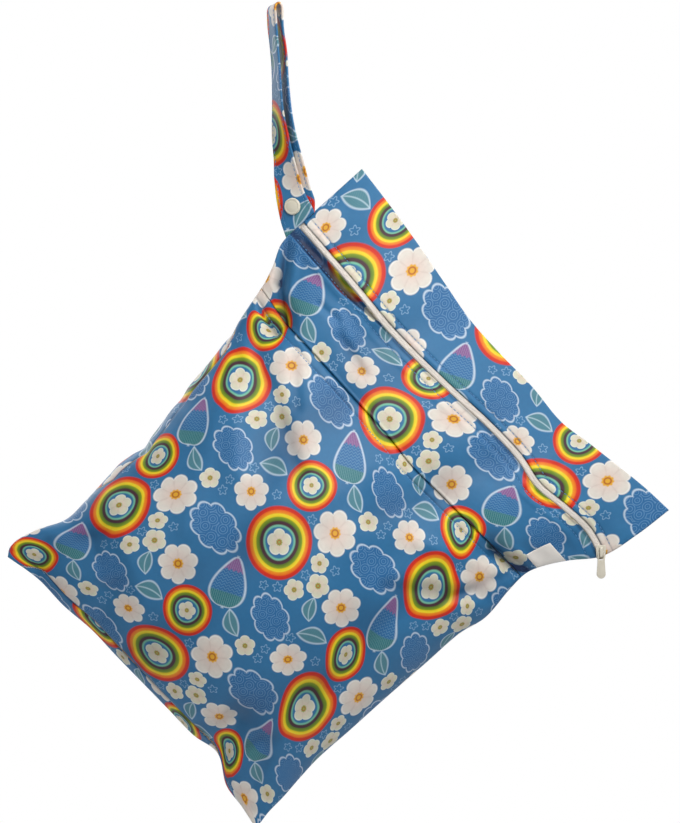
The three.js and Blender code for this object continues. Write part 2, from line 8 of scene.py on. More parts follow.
# %% Load the frame
import math
import bpy
import numpy as np
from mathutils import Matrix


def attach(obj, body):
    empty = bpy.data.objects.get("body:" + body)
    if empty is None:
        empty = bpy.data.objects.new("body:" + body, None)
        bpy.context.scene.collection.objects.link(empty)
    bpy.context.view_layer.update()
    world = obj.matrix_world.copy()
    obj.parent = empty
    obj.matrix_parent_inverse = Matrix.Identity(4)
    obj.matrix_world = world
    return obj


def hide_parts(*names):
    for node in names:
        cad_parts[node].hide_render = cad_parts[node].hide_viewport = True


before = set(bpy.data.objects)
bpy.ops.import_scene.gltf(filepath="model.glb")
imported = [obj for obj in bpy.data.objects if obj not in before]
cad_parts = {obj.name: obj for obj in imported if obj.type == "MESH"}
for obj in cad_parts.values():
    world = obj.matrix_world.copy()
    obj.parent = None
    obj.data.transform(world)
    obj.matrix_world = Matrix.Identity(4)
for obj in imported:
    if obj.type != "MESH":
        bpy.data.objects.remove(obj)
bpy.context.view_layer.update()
MM = 0.001

# %% [markdown]
# The camera comes first. It looks straight along +Y at the middle of the hanging bag, from about
# two metres, where the outline is nearly the same as in a flat drawing. A longer lens further
# away would look alike.

# %% Camera
VIEW_CENTRE = (0.0433, -0.2703)
VIEW_HEIGHT = 0.5487
LENS = 135.0
SENSOR = 36.0

camera_data = bpy.data.cameras.new("camera")
camera_data.lens = LENS
camera_data.sensor_width = SENSOR
camera = bpy.data.objects.new("camera", camera_data)
bpy.context.scene.collection.objects.link(camera)
camera.location = (VIEW_CENTRE[0], -VIEW_HEIGHT * LENS / SENSOR, VIEW_CENTRE[1])
camera.rotation_euler = (math.radians(90), 0, 0)
camera_data.clip_start, camera_data.clip_end = 0.1, 20
bpy.context.scene.camera = camera
print("camera at", tuple(round(x, 3) for x in camera.location))

# %% [markdown]
# A mesh from a numpy grid is the one tool that every piece below uses. A grid is a block of
# points with a row and a column number, and its faces join each point to its next column and next
# row. A sheet with a thickness is two such grids, one for each side of the cloth, and a rim that
# closes them. The volume's sign tells whether the faces point outwards, so no side is guessed.

# %% Meshes from grids
def quads(rows, columns, start=0, wrap=False):
    """Faces of one grid: each joins point (row, column) to the next row and the next column."""
    reach = columns if wrap else columns - 1
    row, column = np.meshgrid(np.arange(rows - 1), np.arange(reach), indexing="ij")
    here = start + row * columns + column
    right = start + row * columns + (column + 1) % columns
    return np.stack([here, right, right + columns, here + columns], axis=-1).reshape(-1, 4)


def make_mesh(name, points, faces, uv=None):
    """An object at the origin whose mesh holds these points, in metres, facing outwards."""
    points, faces = np.asarray(points, float).reshape(-1, 3), np.asarray(faces)
    a, b, c, d = (points[faces[:, k]] for k in range(4))
    volume = np.einsum("ij,ij->", a, np.cross(b, c)) + np.einsum("ij,ij->", a, np.cross(c, d))
    if volume < 0:
        faces = faces[:, ::-1]
    mesh = bpy.data.meshes.new(name)
    mesh.vertices.add(len(points))
    mesh.vertices.foreach_set("co", points.ravel())
    mesh.loops.add(faces.size)
    mesh.loops.foreach_set("vertex_index", faces.ravel())
    mesh.polygons.add(len(faces))
    mesh.polygons.foreach_set("loop_start", np.arange(0, faces.size, 4))
    mesh.update(calc_edges=True)
    mesh.polygons.foreach_set("use_smooth", np.ones(len(faces), bool))
    if uv is not None:
        layer = mesh.uv_layers.new(name="cut")
        layer.data.foreach_set("uv", np.asarray(uv).reshape(-1, 2)[faces.ravel()].ravel())
    mesh.validate()
    obj = bpy.data.objects.new(name, mesh)
    bpy.context.scene.collection.objects.link(obj)
    print(f"{name}: {len(points)} points, {len(faces)} faces")
    return obj


def slab(name, outer, inner, uv=None):
    """A closed sheet: an outer grid, an inner grid and the rim between their four edges."""
    rows, columns = outer.shape[:2]
    layer = rows * columns
    number = np.arange(layer).reshape(rows, columns)
    rim = np.concatenate([number[0, :-1], number[:-1, -1], number[-1, :0:-1], number[:0:-1, 0]])
    after = np.roll(rim, -1)
    sides = np.stack([after, rim, rim + layer, after + layer], axis=-1)
    faces = np.concatenate([quads(rows, columns), quads(rows, columns, layer)[:, ::-1], sides])
    both = None if uv is None else np.concatenate([uv.reshape(-1, 2)] * 2)
    return make_mesh(name, np.concatenate([outer.reshape(-1, 3), inner.reshape(-1, 3)]), faces, both)


# %% [markdown]
# The stage is one round pale floor far below the bag. It isn't part of the object. There is no
# wall, because a wall would hide the bag from behind; the white that the camera sees round the
# bag comes from the world, further down.

# %% Stage
def round_floor(radius=3.0, level=-1.5):
    """A disc in polar form: rings of growing radius, each point at radius times (cos, sin)."""
    angle = np.linspace(0, math.tau, 49)[None, :-1]
    ring = radius * np.linspace(0.002, 1, 9)[:, None] ** 1.5
    return np.stack(np.broadcast_arrays(ring * np.cos(angle), ring * np.sin(angle), level), axis=-1)


disc = round_floor()
floor = make_mesh("pale_floor", disc, quads(*disc.shape[:2], wrap=True))

# %% [markdown]
# A small key above and in front keeps the shadows of the folds crisp. A second lamp, from the
# upper right, grazes the thin top of the bag and gives its cloth a pale veil, and a broad weak one
# from the left fills the shadows. Two behind light the back for when the camera goes round.

# %% Lights
def softbox(name, place, target, size, watts):
    """A square area lamp at a place, turned towards a target."""
    data = bpy.data.lights.new(name, "AREA")
    data.size, data.energy = size, watts
    lamp = bpy.data.objects.new(name, data)
    bpy.context.scene.collection.objects.link(lamp)
    way = np.subtract(target, place)
    lamp.location = place
    tip_up = math.atan2(math.hypot(way[0], way[1]), -way[2])
    lamp.rotation_euler = (tip_up, 0, math.atan2(way[1], way[0]) - math.pi / 2)
    return lamp


softbox("key", (0.36, -1.0, 0.38), (0.13, 0, -0.12), 0.28, 6.7)
softbox("veil", (0.55, -0.42, 0.36), (0.15, 0, -0.15), 0.4, 3.0)
softbox("fill", (-1.2, -1.5, 0.1), (0.0, 0, -0.3), 1.2, 4.2)
softbox("back_left", (-1.0, 1.3, 0.5), (0.0, 0, -0.25), 1.0, 12)
softbox("back_right", (1.2, 1.2, 0.4), (0.05, 0, -0.25), 1.0, 9)

# %% [markdown]
# The world does two things. Light that reaches the cloth from it is a soft gradient, paler above
# than below, and what the camera sees of it directly is a white sheet of paper. A Light Path node
# tells the two apart.

# %% World
world = bpy.data.worlds.new("studio")
bpy.context.scene.world = world
world.use_nodes = True
SKY, GROUND, SHEET = (0.34, 0.36, 0.39, 1), (0.03, 0.035, 0.045, 1), (1.0, 1.0, 1.0, 1)
bpy.context.scene.view_settings.view_transform = "Standard"
sky = world.node_tree.nodes
height = sky.new("ShaderNodeSeparateXYZ")
blend = sky.new("ShaderNodeMapRange")
blend.inputs["From Min"].default_value, blend.inputs["From Max"].default_value = -0.5, 0.7
tones, seen = sky.new("ShaderNodeMix"), sky.new("ShaderNodeMix")
tones.data_type = seen.data_type = "RGBA"
tones.inputs[6].default_value, tones.inputs[7].default_value = GROUND, SKY
seen.inputs[7].default_value = SHEET
for start, end in [
    (sky.new("ShaderNodeTexCoord").outputs["Generated"], height.inputs[0]),
    (height.outputs["Z"], blend.inputs["Value"]),
    (blend.outputs["Result"], tones.inputs[0]),
    (tones.outputs[2], seen.inputs[6]),
    (sky.new("ShaderNodeLightPath").outputs["Is Camera Ray"], seen.inputs[0]),
    (seen.outputs[2], sky["Background"].inputs["Color"]),
]:
    world.node_tree.links.new(start, end)
print("lights", len(bpy.data.lights))

# %% [markdown]
# Materials are wired with a small helper, so that a line of code reads like the sum it stands
# for. A plain number goes on the socket itself, and a socket is linked.

# %% A helper for wiring nodes
def srgb(code, alpha=1.0):
    """A colour as the shader wants it, from the usual six-digit screen code."""
    parts = [int(code[i:i + 2], 16) / 255 for i in (0, 2, 4)]
    return tuple(((c + 0.055) / 1.055) ** 2.4 if c > 0.04045 else c / 12.92 for c in parts) + (alpha,)


class Wiring:
    """Adds nodes to one tree and feeds their sockets with numbers, colours or other sockets."""

    def __init__(self, tree):
        self.tree = tree

    def feed(self, socket, value):
        if isinstance(value, bpy.types.NodeSocket):
            self.tree.links.new(value, socket)
        else:
            socket.default_value = value

    def node(self, kind, feeds=None, **settings):
        made = self.tree.nodes.new(kind)
        for key, value in settings.items():
            setattr(made, key, value)
        for key, value in (feeds or {}).items():
            self.feed(made.inputs[key], value)
        return made

    def math(self, operation, *values, clamp=False):
        made = self.node("ShaderNodeMath", operation=operation, use_clamp=clamp)
        for i, value in enumerate(values):
            self.feed(made.inputs[i], value)
        return made.outputs[0]

    def times(self, first, second, clamp=False):
        return self.math("MULTIPLY", first, second, clamp=clamp)

    def minus(self, first, second):
        return self.math("SUBTRACT", first, second)

    def vector(self, operation, *values, out=0):
        made = self.node("ShaderNodeVectorMath", operation=operation)
        for i, value in enumerate(values):
            self.feed(made.inputs["Scale" if operation == "SCALE" and i == 1 else i], value)
        return made.outputs[out]

    def mix(self, factor, first, second, blend="MIX"):
        made = self.node("ShaderNodeMix", data_type="RGBA", blend_type=blend)
        for i, value in zip((0, 6, 7), (factor, first, second)):
            self.feed(made.inputs[i], value)
        return made.outputs[2]

    def parts(self, vector):
        return self.node("ShaderNodeSeparateXYZ", {0: vector}).outputs

    def within(self, value, soft):
        """A mask with a soft rim: 1 where value is well above 0 and 0 where it is well below."""
        return self.math("MULTIPLY_ADD", value, 0.5 / soft, 0.5, clamp=True)

    def line(self, value, half, soft):
        """A mask of the places where value is within half of 0."""
        return self.within(self.minus(half, self.math("ABSOLUTE", value)), soft)


KINDS = {"vector": "NodeSocketVector", "value": "NodeSocketFloat", "colour": "NodeSocketColor"}


def shader_group(name, takes, gives):
    """An empty node group with these named sockets, and the wiring, inputs and outputs to fill it."""
    tree = bpy.data.node_groups.new(name, "ShaderNodeTree")
    for label, kind in takes:
        tree.interface.new_socket(name=label, in_out="INPUT", socket_type=KINDS[kind])
    for label, kind in gives:
        tree.interface.new_socket(name=label, in_out="OUTPUT", socket_type=KINDS[kind])
    wiring = Wiring(tree)
    return wiring, wiring.node("NodeGroupInput").outputs, wiring.node("NodeGroupOutput").inputs


def place_group(wiring, name, feeds):
    made = wiring.node("ShaderNodeGroup", node_tree=bpy.data.node_groups[name])
    for key, value in feeds.items():
        wiring.feed(made.inputs[key], value)
    return made.outputs


# %% [markdown]
# The print is drawn by rule, with no picture behind it: rings of coloured bands, cream blooms,
# scalloped shells, patterned drops, hatched leaves, buds and stars, on a mid blue. Cloth is
# printed by a roller, so the drawing repeats, and here each column of the repeat is half a step
# lower than the last, which printers call a half drop. One group finds where a point lies in the
# nearest copy of a motif; after that each motif only has to be drawn once, round its own centre.

# %% Half-drop repeat
REPEAT_WIDE, REPEAT_HIGH = 96.0, 116.0

w, takes, gives = shader_group(
    "half drop place",
    [("Position", "vector"), ("Centre", "vector"), ("Turn", "value"), ("Size", "value")],
    [("Local", "vector")],
)
px, py, _ = w.parts(w.vector("SUBTRACT", takes["Position"], takes["Centre"]))
column = w.math("ROUND", w.math("DIVIDE", px, REPEAT_WIDE))
x = w.minus(px, w.times(column, REPEAT_WIDE))
y = w.minus(py, w.times(column, REPEAT_HIGH / 2))
y = w.minus(y, w.times(w.math("ROUND", w.math("DIVIDE", y, REPEAT_HIGH)), REPEAT_HIGH))
flat = w.node("ShaderNodeCombineXYZ", {0: x, 1: y}).outputs[0]
turned = w.node("ShaderNodeVectorRotate", {"Vector": flat, "Angle": takes["Turn"]}, rotation_type="Z_AXIS")
unit = w.vector("SCALE", turned.outputs[0], w.math("DIVIDE", 1.0, takes["Size"]))
w.feed(gives["Local"], unit)
print("repeat", REPEAT_WIDE, "by", REPEAT_HIGH, "mm")

# %% [markdown]
# Each motif works in its own unit, where 1 is its radius. It takes the colour below it and gives
# that colour back outside its outline. A flower is a circle whose radius swells once per petal,
# and a ring of bands is a colour ramp read by the distance from the centre.

# %% Bloom and ring
MOTIF = [("Local", "vector"), ("Below", "colour")]


def polar(wiring, local):
    """Distance from the centre, and the angle round it."""
    x, y, _ = wiring.parts(local)
    return wiring.vector("LENGTH", local, out=1), wiring.math("ARCTAN2", y, x)


w, takes, gives = shader_group(
    "bloom", MOTIF + [("Petals", "value"), ("Petal", "colour"), ("Heart", "colour")], [("Colour", "colour")]
)
radius, angle = polar(w, takes["Local"])
petal = w.math("ABSOLUTE", w.math("COSINE", w.times(angle, w.times(takes["Petals"], 0.5))))
edge = w.math("MULTIPLY_ADD", w.math("POWER", petal, 0.6), 0.24, 0.76)
inside = w.within(w.minus(edge, radius), 0.03)
rim = w.line(w.minus(w.minus(edge, radius), 0.04), 0.035, 0.03)
vein = w.times(w.math("POWER", w.minus(1.0, petal), 4.0), w.within(w.minus(radius, 0.3), 0.2))
blush = w.within(w.minus(0.52, radius), 0.25)
colour = w.mix(w.times(blush, 0.4), takes["Petal"], srgb("E9BDAF"))
colour = w.mix(w.times(vein, 0.35), colour, srgb("C9AFA0"))
colour = w.mix(w.times(rim, 0.7), colour, srgb("F6F4EE"))
dots = w.math("SINE", w.times(angle, 9.0))
heart = w.within(w.minus(w.math("MULTIPLY_ADD", dots, 0.02, 0.25), radius), 0.03)
colour = w.mix(heart, colour, takes["Heart"])
colour = w.mix(w.line(w.minus(radius, 0.14), 0.03, 0.03), colour, srgb("B7521F"))
w.feed(gives["Colour"], w.mix(inside, takes["Below"], colour))

BANDS = [
    (0.0, "5FAE96"), (0.40, "5FAE96"), (0.46, "7FC7A6"), (0.50, "4A2A33"), (0.57, "4A2A33"), (0.60, "5E7B1E"),
    (0.68, "86A11B"), (0.71, "F4D316"), (0.77, "FBE02A"), (0.80, "F99A14"), (0.87, "F4700F"), (0.90, "DE2E12"),
    (1.0, "D2200F"),
]
w, takes, gives = shader_group("ring", MOTIF, [("Colour", "colour")])
radius, angle = polar(w, takes["Local"])
wobble = w.times(w.math("SINE", w.times(angle, 3.0)), 0.012)
radius = w.math("ADD", radius, wobble)
ramp = w.node("ShaderNodeValToRGB", {0: radius})
stops = ramp.color_ramp.elements
while len(stops) < len(BANDS):
    stops.new(0.5)
for stop, (place, code) in zip(stops, BANDS):
    stop.position, stop.color = place, srgb(code)
inside = w.times(w.within(w.minus(0.995, radius), 0.02), w.within(w.minus(radius, 0.42), 0.02))
w.feed(gives["Colour"], w.mix(inside, takes["Below"], ramp.outputs[0]))
print("ring bands", len(BANDS))

# %% [markdown]
# The drawn motifs are outlines with a pattern inside: a value that is 0 on the outline gives the
# pale line where it is small and the filling where it is above 0. Curls come from the distance to
# scattered points, whose level lines are little circles.

# %% Scalloped shell, patterned drop, hatched leaf and star
w, takes, gives = shader_group("scalloped shell", MOTIF, [("Colour", "colour")])
squashed = w.vector("MULTIPLY", takes["Local"], (1.0, 1.5, 0.0))
radius, angle = polar(w, squashed)
scallop = w.math("POWER", w.math("ABSOLUTE", w.math("COSINE", w.times(angle, 4.5))), 0.7)
body = w.minus(w.math("MULTIPLY_ADD", scallop, 0.16, 0.84), radius)
feeds = {"Vector": takes["Local"], "Scale": 2.7, "Randomness": 0.65}
cells = w.node("ShaderNodeTexVoronoi", feeds, voronoi_dimensions="2D")
curl = w.line(w.math("SINE", w.times(cells.outputs["Distance"], 15.0)), 0.3, 0.3)
inside = w.within(body, 0.04)
colour = w.mix(w.times(inside, 0.55), takes["Below"], srgb("2A66A0"))
colour = w.mix(w.times(w.times(inside, curl), 0.5), colour, srgb("8FBBDC"))
outline = w.line(body, 0.035, 0.03)
w.feed(gives["Colour"], w.mix(w.times(outline, 0.85), colour, srgb("D6E4F0")))

w, takes, gives = shader_group("patterned drop", MOTIF, [("Colour", "colour")])
x, y, _ = w.parts(takes["Local"])
round_it = w.math("SQRT", w.math("MAXIMUM", w.minus(1.0, w.times(y, y)), 0.0))
width = w.times(w.times(round_it, 0.62), w.math("MULTIPLY_ADD", y, -0.52, 1.0))
body = w.math("MINIMUM", w.minus(width, w.math("ABSOLUTE", x)), w.minus(1.0, w.math("ABSOLUTE", y)))
zigzag = w.math("PINGPONG", x, 0.09)
bands = w.math("SINE", w.times(w.math("ADD", y, zigzag), 26.0))
rows = w.line(bands, 0.3, 0.35)
top = w.within(w.minus(y, w.math("ADD", 0.42, zigzag)), 0.03)
foot = w.within(w.minus(-0.42, y), 0.03)
fill = w.mix(0.55, takes["Below"], srgb("2F6BA6"))
fill = w.mix(w.times(rows, 0.5), fill, srgb("8DBBD0"))
fill = w.mix(w.times(top, 0.75), fill, srgb("A04C8F"))
fill = w.mix(w.times(foot, 0.75), fill, srgb("2F7B72"))
cross = w.times(w.line(w.math("SINE", w.times(x, 40.0)), 0.3, 0.3), w.math("MAXIMUM", top, foot))
fill = w.mix(w.times(cross, 0.4), fill, srgb("A9C9C0"))
colour = w.mix(w.within(body, 0.03), takes["Below"], fill)
w.feed(gives["Colour"], w.mix(w.times(w.line(body, 0.04, 0.035), 0.85), colour, srgb("D9E6F1")))

w, takes, gives = shader_group("hatched leaf", MOTIF, [("Colour", "colour")])
x, y, _ = w.parts(takes["Local"])
bend = w.minus(x, w.times(w.times(y, y), 0.22))
width = w.times(w.minus(1.0, w.times(y, y)), 0.56)
body = w.minus(width, w.math("ABSOLUTE", bend))
body = w.math("MINIMUM", body, w.minus(1.0, w.math("ABSOLUTE", y)))
hatch = w.line(w.math("SINE", w.times(w.math("ADD", y, w.math("ABSOLUTE", bend)), 24.0)), 0.35, 0.35)
fill = w.mix(w.times(hatch, 0.55), srgb("4F8794"), srgb("7FA88C"))
fill = w.mix(w.line(bend, 0.04, 0.04), fill, srgb("BFD8DE"))
colour = w.mix(w.times(w.within(body, 0.04), 0.85), takes["Below"], fill)
w.feed(gives["Colour"], w.mix(w.times(w.line(body, 0.06, 0.05), 0.8), colour, srgb("CFE0EC")))

w, takes, gives = shader_group("open star", MOTIF, [("Colour", "colour")])
radius, angle = polar(w, takes["Local"])
edge = w.math("MULTIPLY_ADD", w.math("COSINE", w.times(angle, 5.0)), 0.2, 0.68)
mark = w.line(w.minus(edge, radius), 0.09, 0.08)
w.feed(gives["Colour"], w.mix(w.times(mark, 0.62), takes["Below"], srgb("A9CBE6")))
print("motifs drawn")

# %% [markdown]
# The layout lists every motif of one repeat: which it is, its centre and radius in millimetres
# and its turn in degrees. It was packed so that no outlines touch. The ground is a mid
# blue, a little uneven, as dye is on a coated knit.

# %% The whole print
LAYOUT = [
    ("ring", 13, 14, 23, 23), ("ring", 3, 55, 17, 42),
    ("bloom", 36, 46, 15, -67), ("bloom", -23, -44, 13.5, 43), ("bloom", -23, 23, 12, -5),
    ("scalloped shell", -24, -10, 20, 2), ("scalloped shell", 44, -23, 17, 18),
    ("patterned drop", 9, -27, 17, -30),
    ("hatched leaf", -24, 46, 10, 67), ("hatched leaf", 29, -45, 9, -63), ("hatched leaf", -39, 57, 8, -32),
    ("bud", -45, -44, 8, -17), ("bud", 46, -48, 7, 9), ("bud", 41, 1, 7, -13), ("bud", 42, 25, 6.5, -52),
    ("bud", 13, 14, 8.5, 10), ("bud", 3, 55, 6, 30),
    ("open star", -38, 10, 3.6, -64), ("open star", -9, 34, 3.6, -70), ("open star", 32, -6, 3.6, -64),
    ("open star", -39, 18, 3.4, -50), ("open star", -43, -29, 3.6, 69), ("open star", -33, 35, 3.6, -44),
    ("open star", 19, 40, 3.6, 21), ("open star", 40, 13, 3.6, 35), ("open star", 25, -12, 3.4, -38),
]
BLOOM_FINISH = {"bloom": (7.0, "E9E0D3", "EDB12C"), "bud": (5.0, "E0DDC2", "A3B058")}

w, takes, gives = shader_group("print", [("Position", "vector")], [("Colour", "colour"), ("Motif", "value")])
dye = w.node("ShaderNodeTexNoise", {"Vector": takes["Position"], "Scale": 0.02, "Detail": 3.0}).outputs["Fac"]
ground = w.mix(dye, srgb("266997"), srgb("387DAC"))
colour = ground
for motif, along, up, size, turn in LAYOUT:
    feeds = {"Position": takes["Position"], "Centre": (along, up, 0), "Turn": math.radians(turn), "Size": float(size)}
    local = place_group(w, "half drop place", feeds)["Local"]
    feeds = {"Local": local, "Below": colour}
    if motif in BLOOM_FINISH:
        petals, petal, heart = BLOOM_FINISH[motif]
        feeds.update({"Petals": petals, "Petal": srgb(petal), "Heart": srgb(heart)})
    colour = place_group(w, "bloom" if motif == "bud" else motif, feeds)["Colour"]
w.feed(gives["Colour"], colour)
w.feed(gives["Motif"], dye)
print("motifs in one repeat", len(LAYOUT))

# %% [markdown]
# The cloth itself is a smooth coated knit: fine loops, a soft sheen and slight unevenness. The
# weave group gives a height for the bump and is used again, finer, on the zip's tape, the label
# and the thread, so it takes the pitch of its threads as an input. Folds hold back light, and that
# shade is painted: a value kept at each point of the mesh darkens the dye there.

# %% Weave and unevenness
w, takes, gives = shader_group(
    "weave", [("Position", "vector"), ("Pitch", "value"), ("Slub", "value")], [("Height", "value"), ("Shade", "value")]
)
x, y, _ = w.parts(takes["Position"])
rate = w.math("DIVIDE", math.tau, takes["Pitch"])
warp = w.math("SINE", w.times(w.math("ADD", x, y), rate))
weft = w.math("SINE", w.times(w.minus(x, y), rate))
loops = w.math("MULTIPLY_ADD", w.math("MAXIMUM", warp, weft), 0.5, 0.5)
uneven = w.node("ShaderNodeTexNoise", {"Vector": takes["Position"], "Scale": 0.35, "Detail": 4.0}).outputs["Fac"]
w.feed(gives["Height"], w.math("ADD", loops, w.times(uneven, takes["Slub"])))
w.feed(gives["Shade"], w.math("MULTIPLY_ADD", w.minus(uneven, 0.5), 0.16, 1.0))


def new_material(name):
    """A material with only its Principled BSDF, and the wiring for its nodes."""
    material = bpy.data.materials.new(name)
    material.use_nodes = True
    wiring = Wiring(material.node_tree)
    return material, wiring, material.node_tree.nodes["Principled BSDF"]


def in_millimetres(wiring, uv=True):
    """The piece's own cut map, or its place in the frame, in millimetres."""
    if uv:
        source = wiring.node("ShaderNodeUVMap", uv_map="cut").outputs[0]
    else:
        source = wiring.node("ShaderNodeTexCoord").outputs["Object"]
    return wiring.vector("SCALE", source, 1 / MM)


printed_cloth, w, shader = new_material("printed_cloth")
place = in_millimetres(w)
drawing = place_group(w, "print", {"Position": place})
knit = place_group(w, "weave", {"Position": place, "Pitch": 0.9, "Slub": 0.5})
shade = w.node("ShaderNodeCombineColor", {0: knit["Shade"], 1: knit["Shade"], 2: knit["Shade"]}).outputs[0]
coloured = w.mix(1.0, drawing["Colour"], shade, "MULTIPLY")
# Painted shade: where the per-point value is high, the dye is mixed towards a dark blue. This stands in for the shade
# in folds, seams and the pocket's pinch.
painted_shade = w.node("ShaderNodeAttribute", attribute_name="painted_shade").outputs["Fac"]
painted_shade_colour = w.mix(1.0, coloured, (0.03, 0.08, 0.17, 1), "MULTIPLY")
w.feed(shader.inputs["Base Color"], w.mix(w.times(painted_shade, 0.75, clamp=True), coloured, painted_shade_colour))
w.feed(shader.inputs["Roughness"], w.math("MULTIPLY_ADD", drawing["Motif"], 0.16, 0.44))
bump = w.node("ShaderNodeBump", {"Height": knit["Height"], "Strength": 0.25, "Distance": 0.00012})
w.feed(shader.inputs["Normal"], bump.outputs[0])
shader.inputs["Sheen Weight"].default_value = 0.05
shader.inputs["Sheen Roughness"].default_value = 0.4
shader.inputs["Specular IOR Level"].default_value = 0.4
print("printed cloth ready")

# %% Zip, thread, plastic, enamel and label finishes
def plain_finish(name, light, dark, pitch, rough, strength, uv=True, sheen=0.0, coat=0.0):
    """A finish of one colour that wanders between a light and a dark tone, with a fine grain."""
    material, wiring, shader = new_material(name)
    place = in_millimetres(wiring, uv)
    grain = place_group(wiring, "weave", {"Position": place, "Pitch": pitch, "Slub": 0.8})
    tone = wiring.node("ShaderNodeTexNoise", {"Vector": place, "Scale": 0.11, "Detail": 3.0}).outputs["Fac"]
    wiring.feed(shader.inputs["Base Color"], wiring.mix(tone, srgb(dark), srgb(light)))
    wiring.feed(shader.inputs["Roughness"], wiring.math("MULTIPLY_ADD", tone, 0.14, rough - 0.07))
    bump = wiring.node("ShaderNodeBump", {"Height": grain["Height"], "Strength": strength, "Distance": 0.0001})
    wiring.feed(shader.inputs["Normal"], bump.outputs[0])
    shader.inputs["Sheen Weight"].default_value = sheen
    shader.inputs["Coat Weight"].default_value = coat
    return material


zip_nylon = plain_finish("zip_nylon", "EDE4DA", "DFD3C6", 0.5, 0.5, 0.2)
zip_twill = plain_finish("zip_twill", "E2DACA", "CBBFAB", 0.6, 0.8, 0.6, sheen=0.2)
ivory_enamel = plain_finish("ivory_enamel", "E3DCCB", "D5CBB5", 0.7, 0.34, 0.08, uv=False, coat=0.25)
ivory_plastic = plain_finish("ivory_plastic", "EAE3CF", "DDD3BA", 0.9, 0.42, 0.05, uv=False, coat=0.06)
tab_satin = plain_finish("tab_satin", "F4EEE5", "E8DFD4", 0.45, 0.6, 0.5, sheen=0.25)
blue_thread = plain_finish("blue_thread", "5C97C8", "3F7FB8", 0.35, 0.6, 0.4, uv=False, sheen=0.2)
paper, w, shader = new_material("paper")
spot = w.node("ShaderNodeTexNoise", {"Vector": in_millimetres(w, False), "Scale": 0.004}).outputs["Fac"]
w.feed(shader.inputs["Base Color"], w.mix(spot, srgb("FBFBFB"), srgb("FFFFFF")))
shader.inputs["Roughness"].default_value = 0.9
shader.inputs["Emission Color"].default_value = (1, 1, 1, 1)
w.feed(shader.inputs["Emission Strength"], w.times(w.node("ShaderNodeLightPath").outputs["Is Camera Ray"], 0.55))
floor.data.materials.append(paper)
print("finishes", len(bpy.data.materials))

# %% [markdown]
# The bag's own shape is told by short tables, the same that shaped the frame: how far each side
# is drawn in at each depth, how full the bag is there, how its cross lines run, and its folds.
# A smooth curve goes through each column of a table. Working them out again here, and not
# measuring the frame's mesh, lets the cloth be as fine as it needs to be.

# %% Tables of the bag
CLOTH, GAP = 1.2, 0.3
BAG_WIDTH, BAG_HEIGHT, BAG_TILT = 306.0, 347.0, math.radians(48)
FULLNESS = {1: 58.0, -1: 42.0}
FOLD_DEPTH, FOLD_WIDTH = 6.0, 9.0
SECTIONS = {
    "down": [0, .08, .155, .21, .25, .285, .33, .4, .46, .54, .64, .74, .82, .87, .92, .96, .985, 1],
    "left": [0, 0, 0, .004, .027, .043, .056, .076, .09, .102, .126, .127, .135, .136, .112, .099, .1, .112],
    "right": [0, .007, .023, .066, .092, .106, .104, .094, .106, .107, .109, .109, .11, .105, .098, .095, .09, .088],
    1: [0, .1, .21, .3, .36, .41, .52, .71, .84, .95, 1, .98, .89, .78, .58, .37, .2, 0],
    -1: [0, .07, .16, .26, .34, .42, .53, .7, .83, .94, 1, .98, .9, .79, .59, .38, .2, 0],
}
ZIP_DOWN, POCKET_DOWN = 54, 105
LINE_LEVELS = {"top": (0, 14), "zip": (ZIP_DOWN, 5), "pocket": (POCKET_DOWN, 2.5), "bottom": (BAG_HEIGHT, -12)}
LINES = {
    "across": [0, .1, .2, .3, .4, .5, .6, .7, .78, .86, .93, 1],
    "top": [0, .17, .4, .69, .97, .99, .91, 1, .68, .38, .14, 0],
    "zip": [.2, .34, .5, .76, .56, .1, -.48, -.64, 0, -.7, -1, -.1],
    "pocket": [-.8, .4, .4, .4, .4, .4, 1, .4, 0, -.6, -.8, -1],
    "bottom": [-.12, .32, .38, .64, .69, .77, .85, .93, 1.25, .42, .27, .04],
}
# One fold each: from and to, as shares of the bag's width and height, then depth and width.
FOLDS = [
    (0, .2, .14, .33, -1, .9), (.01, .186, .27, .175, .3, .8), (.04, .3, .13, .318, -1.2, .8),
    (.9, .285, .8, .3, -1.3, .8), (.15, .315, .8, .315, -.35, .9), (.1, .34, .32, .5, -.6, 1.8),
    (.86, .32, .68, .46, -.6, 1.8), (.3, .42, .62, .38, -.35, 2.6), (.35, .97, .32, .9, -.8, 1.1),
    (.14, .97, .22, .88, -.7, 1.6), (.735, .97, .7, .88, -1.2, .8), (.88, .97, .8, .88, -.6, 1.6),
]


def read_column(table, key, column, at):
    """A smooth curve through a table's column: each stretch is a cubic whose slopes at both ends
    are those between the neighbouring rows."""
    keys, values = np.array(table[key], float), np.array(table[column], float)
    at = np.clip(at, keys[0], keys[-1])
    i = np.clip(np.searchsorted(keys, at, side="left") - 1, 0, len(keys) - 2)
    number = np.arange(len(keys))
    before, after = np.maximum(number - 1, 0), np.minimum(number + 1, len(keys) - 1)
    slope = (values[after] - values[before]) / (keys[after] - keys[before])
    step = keys[i + 1] - keys[i]
    f = (at - keys[i]) / step
    rise = f * f * (3 - 2 * f)
    return values[i] * (1 - rise) + values[i + 1] * rise + step * f * (1 - f) * (slope[i] * (1 - f) - slope[i + 1] * f)


def smooth(low, high, value):
    """Rises from 0 at low to 1 at high with level ends."""
    f = np.clip((value - low) / (high - low), 0, 1)
    return f * f * (3 - 2 * f)


def bell(distance, width):
    """1 on a line, and e to the power of minus the square of distance over width beside it."""
    return np.exp(-((distance / width) ** 2))


def cross_line(name, across):
    """Distance down from the bag's upper corners: a named line's level plus its own wandering."""
    level, reach = LINE_LEVELS[name]
    return level + reach * read_column(LINES, "across", name, across)


print("zip at", cross_line("zip", np.array([0, 0.5, 1])), "mm down")
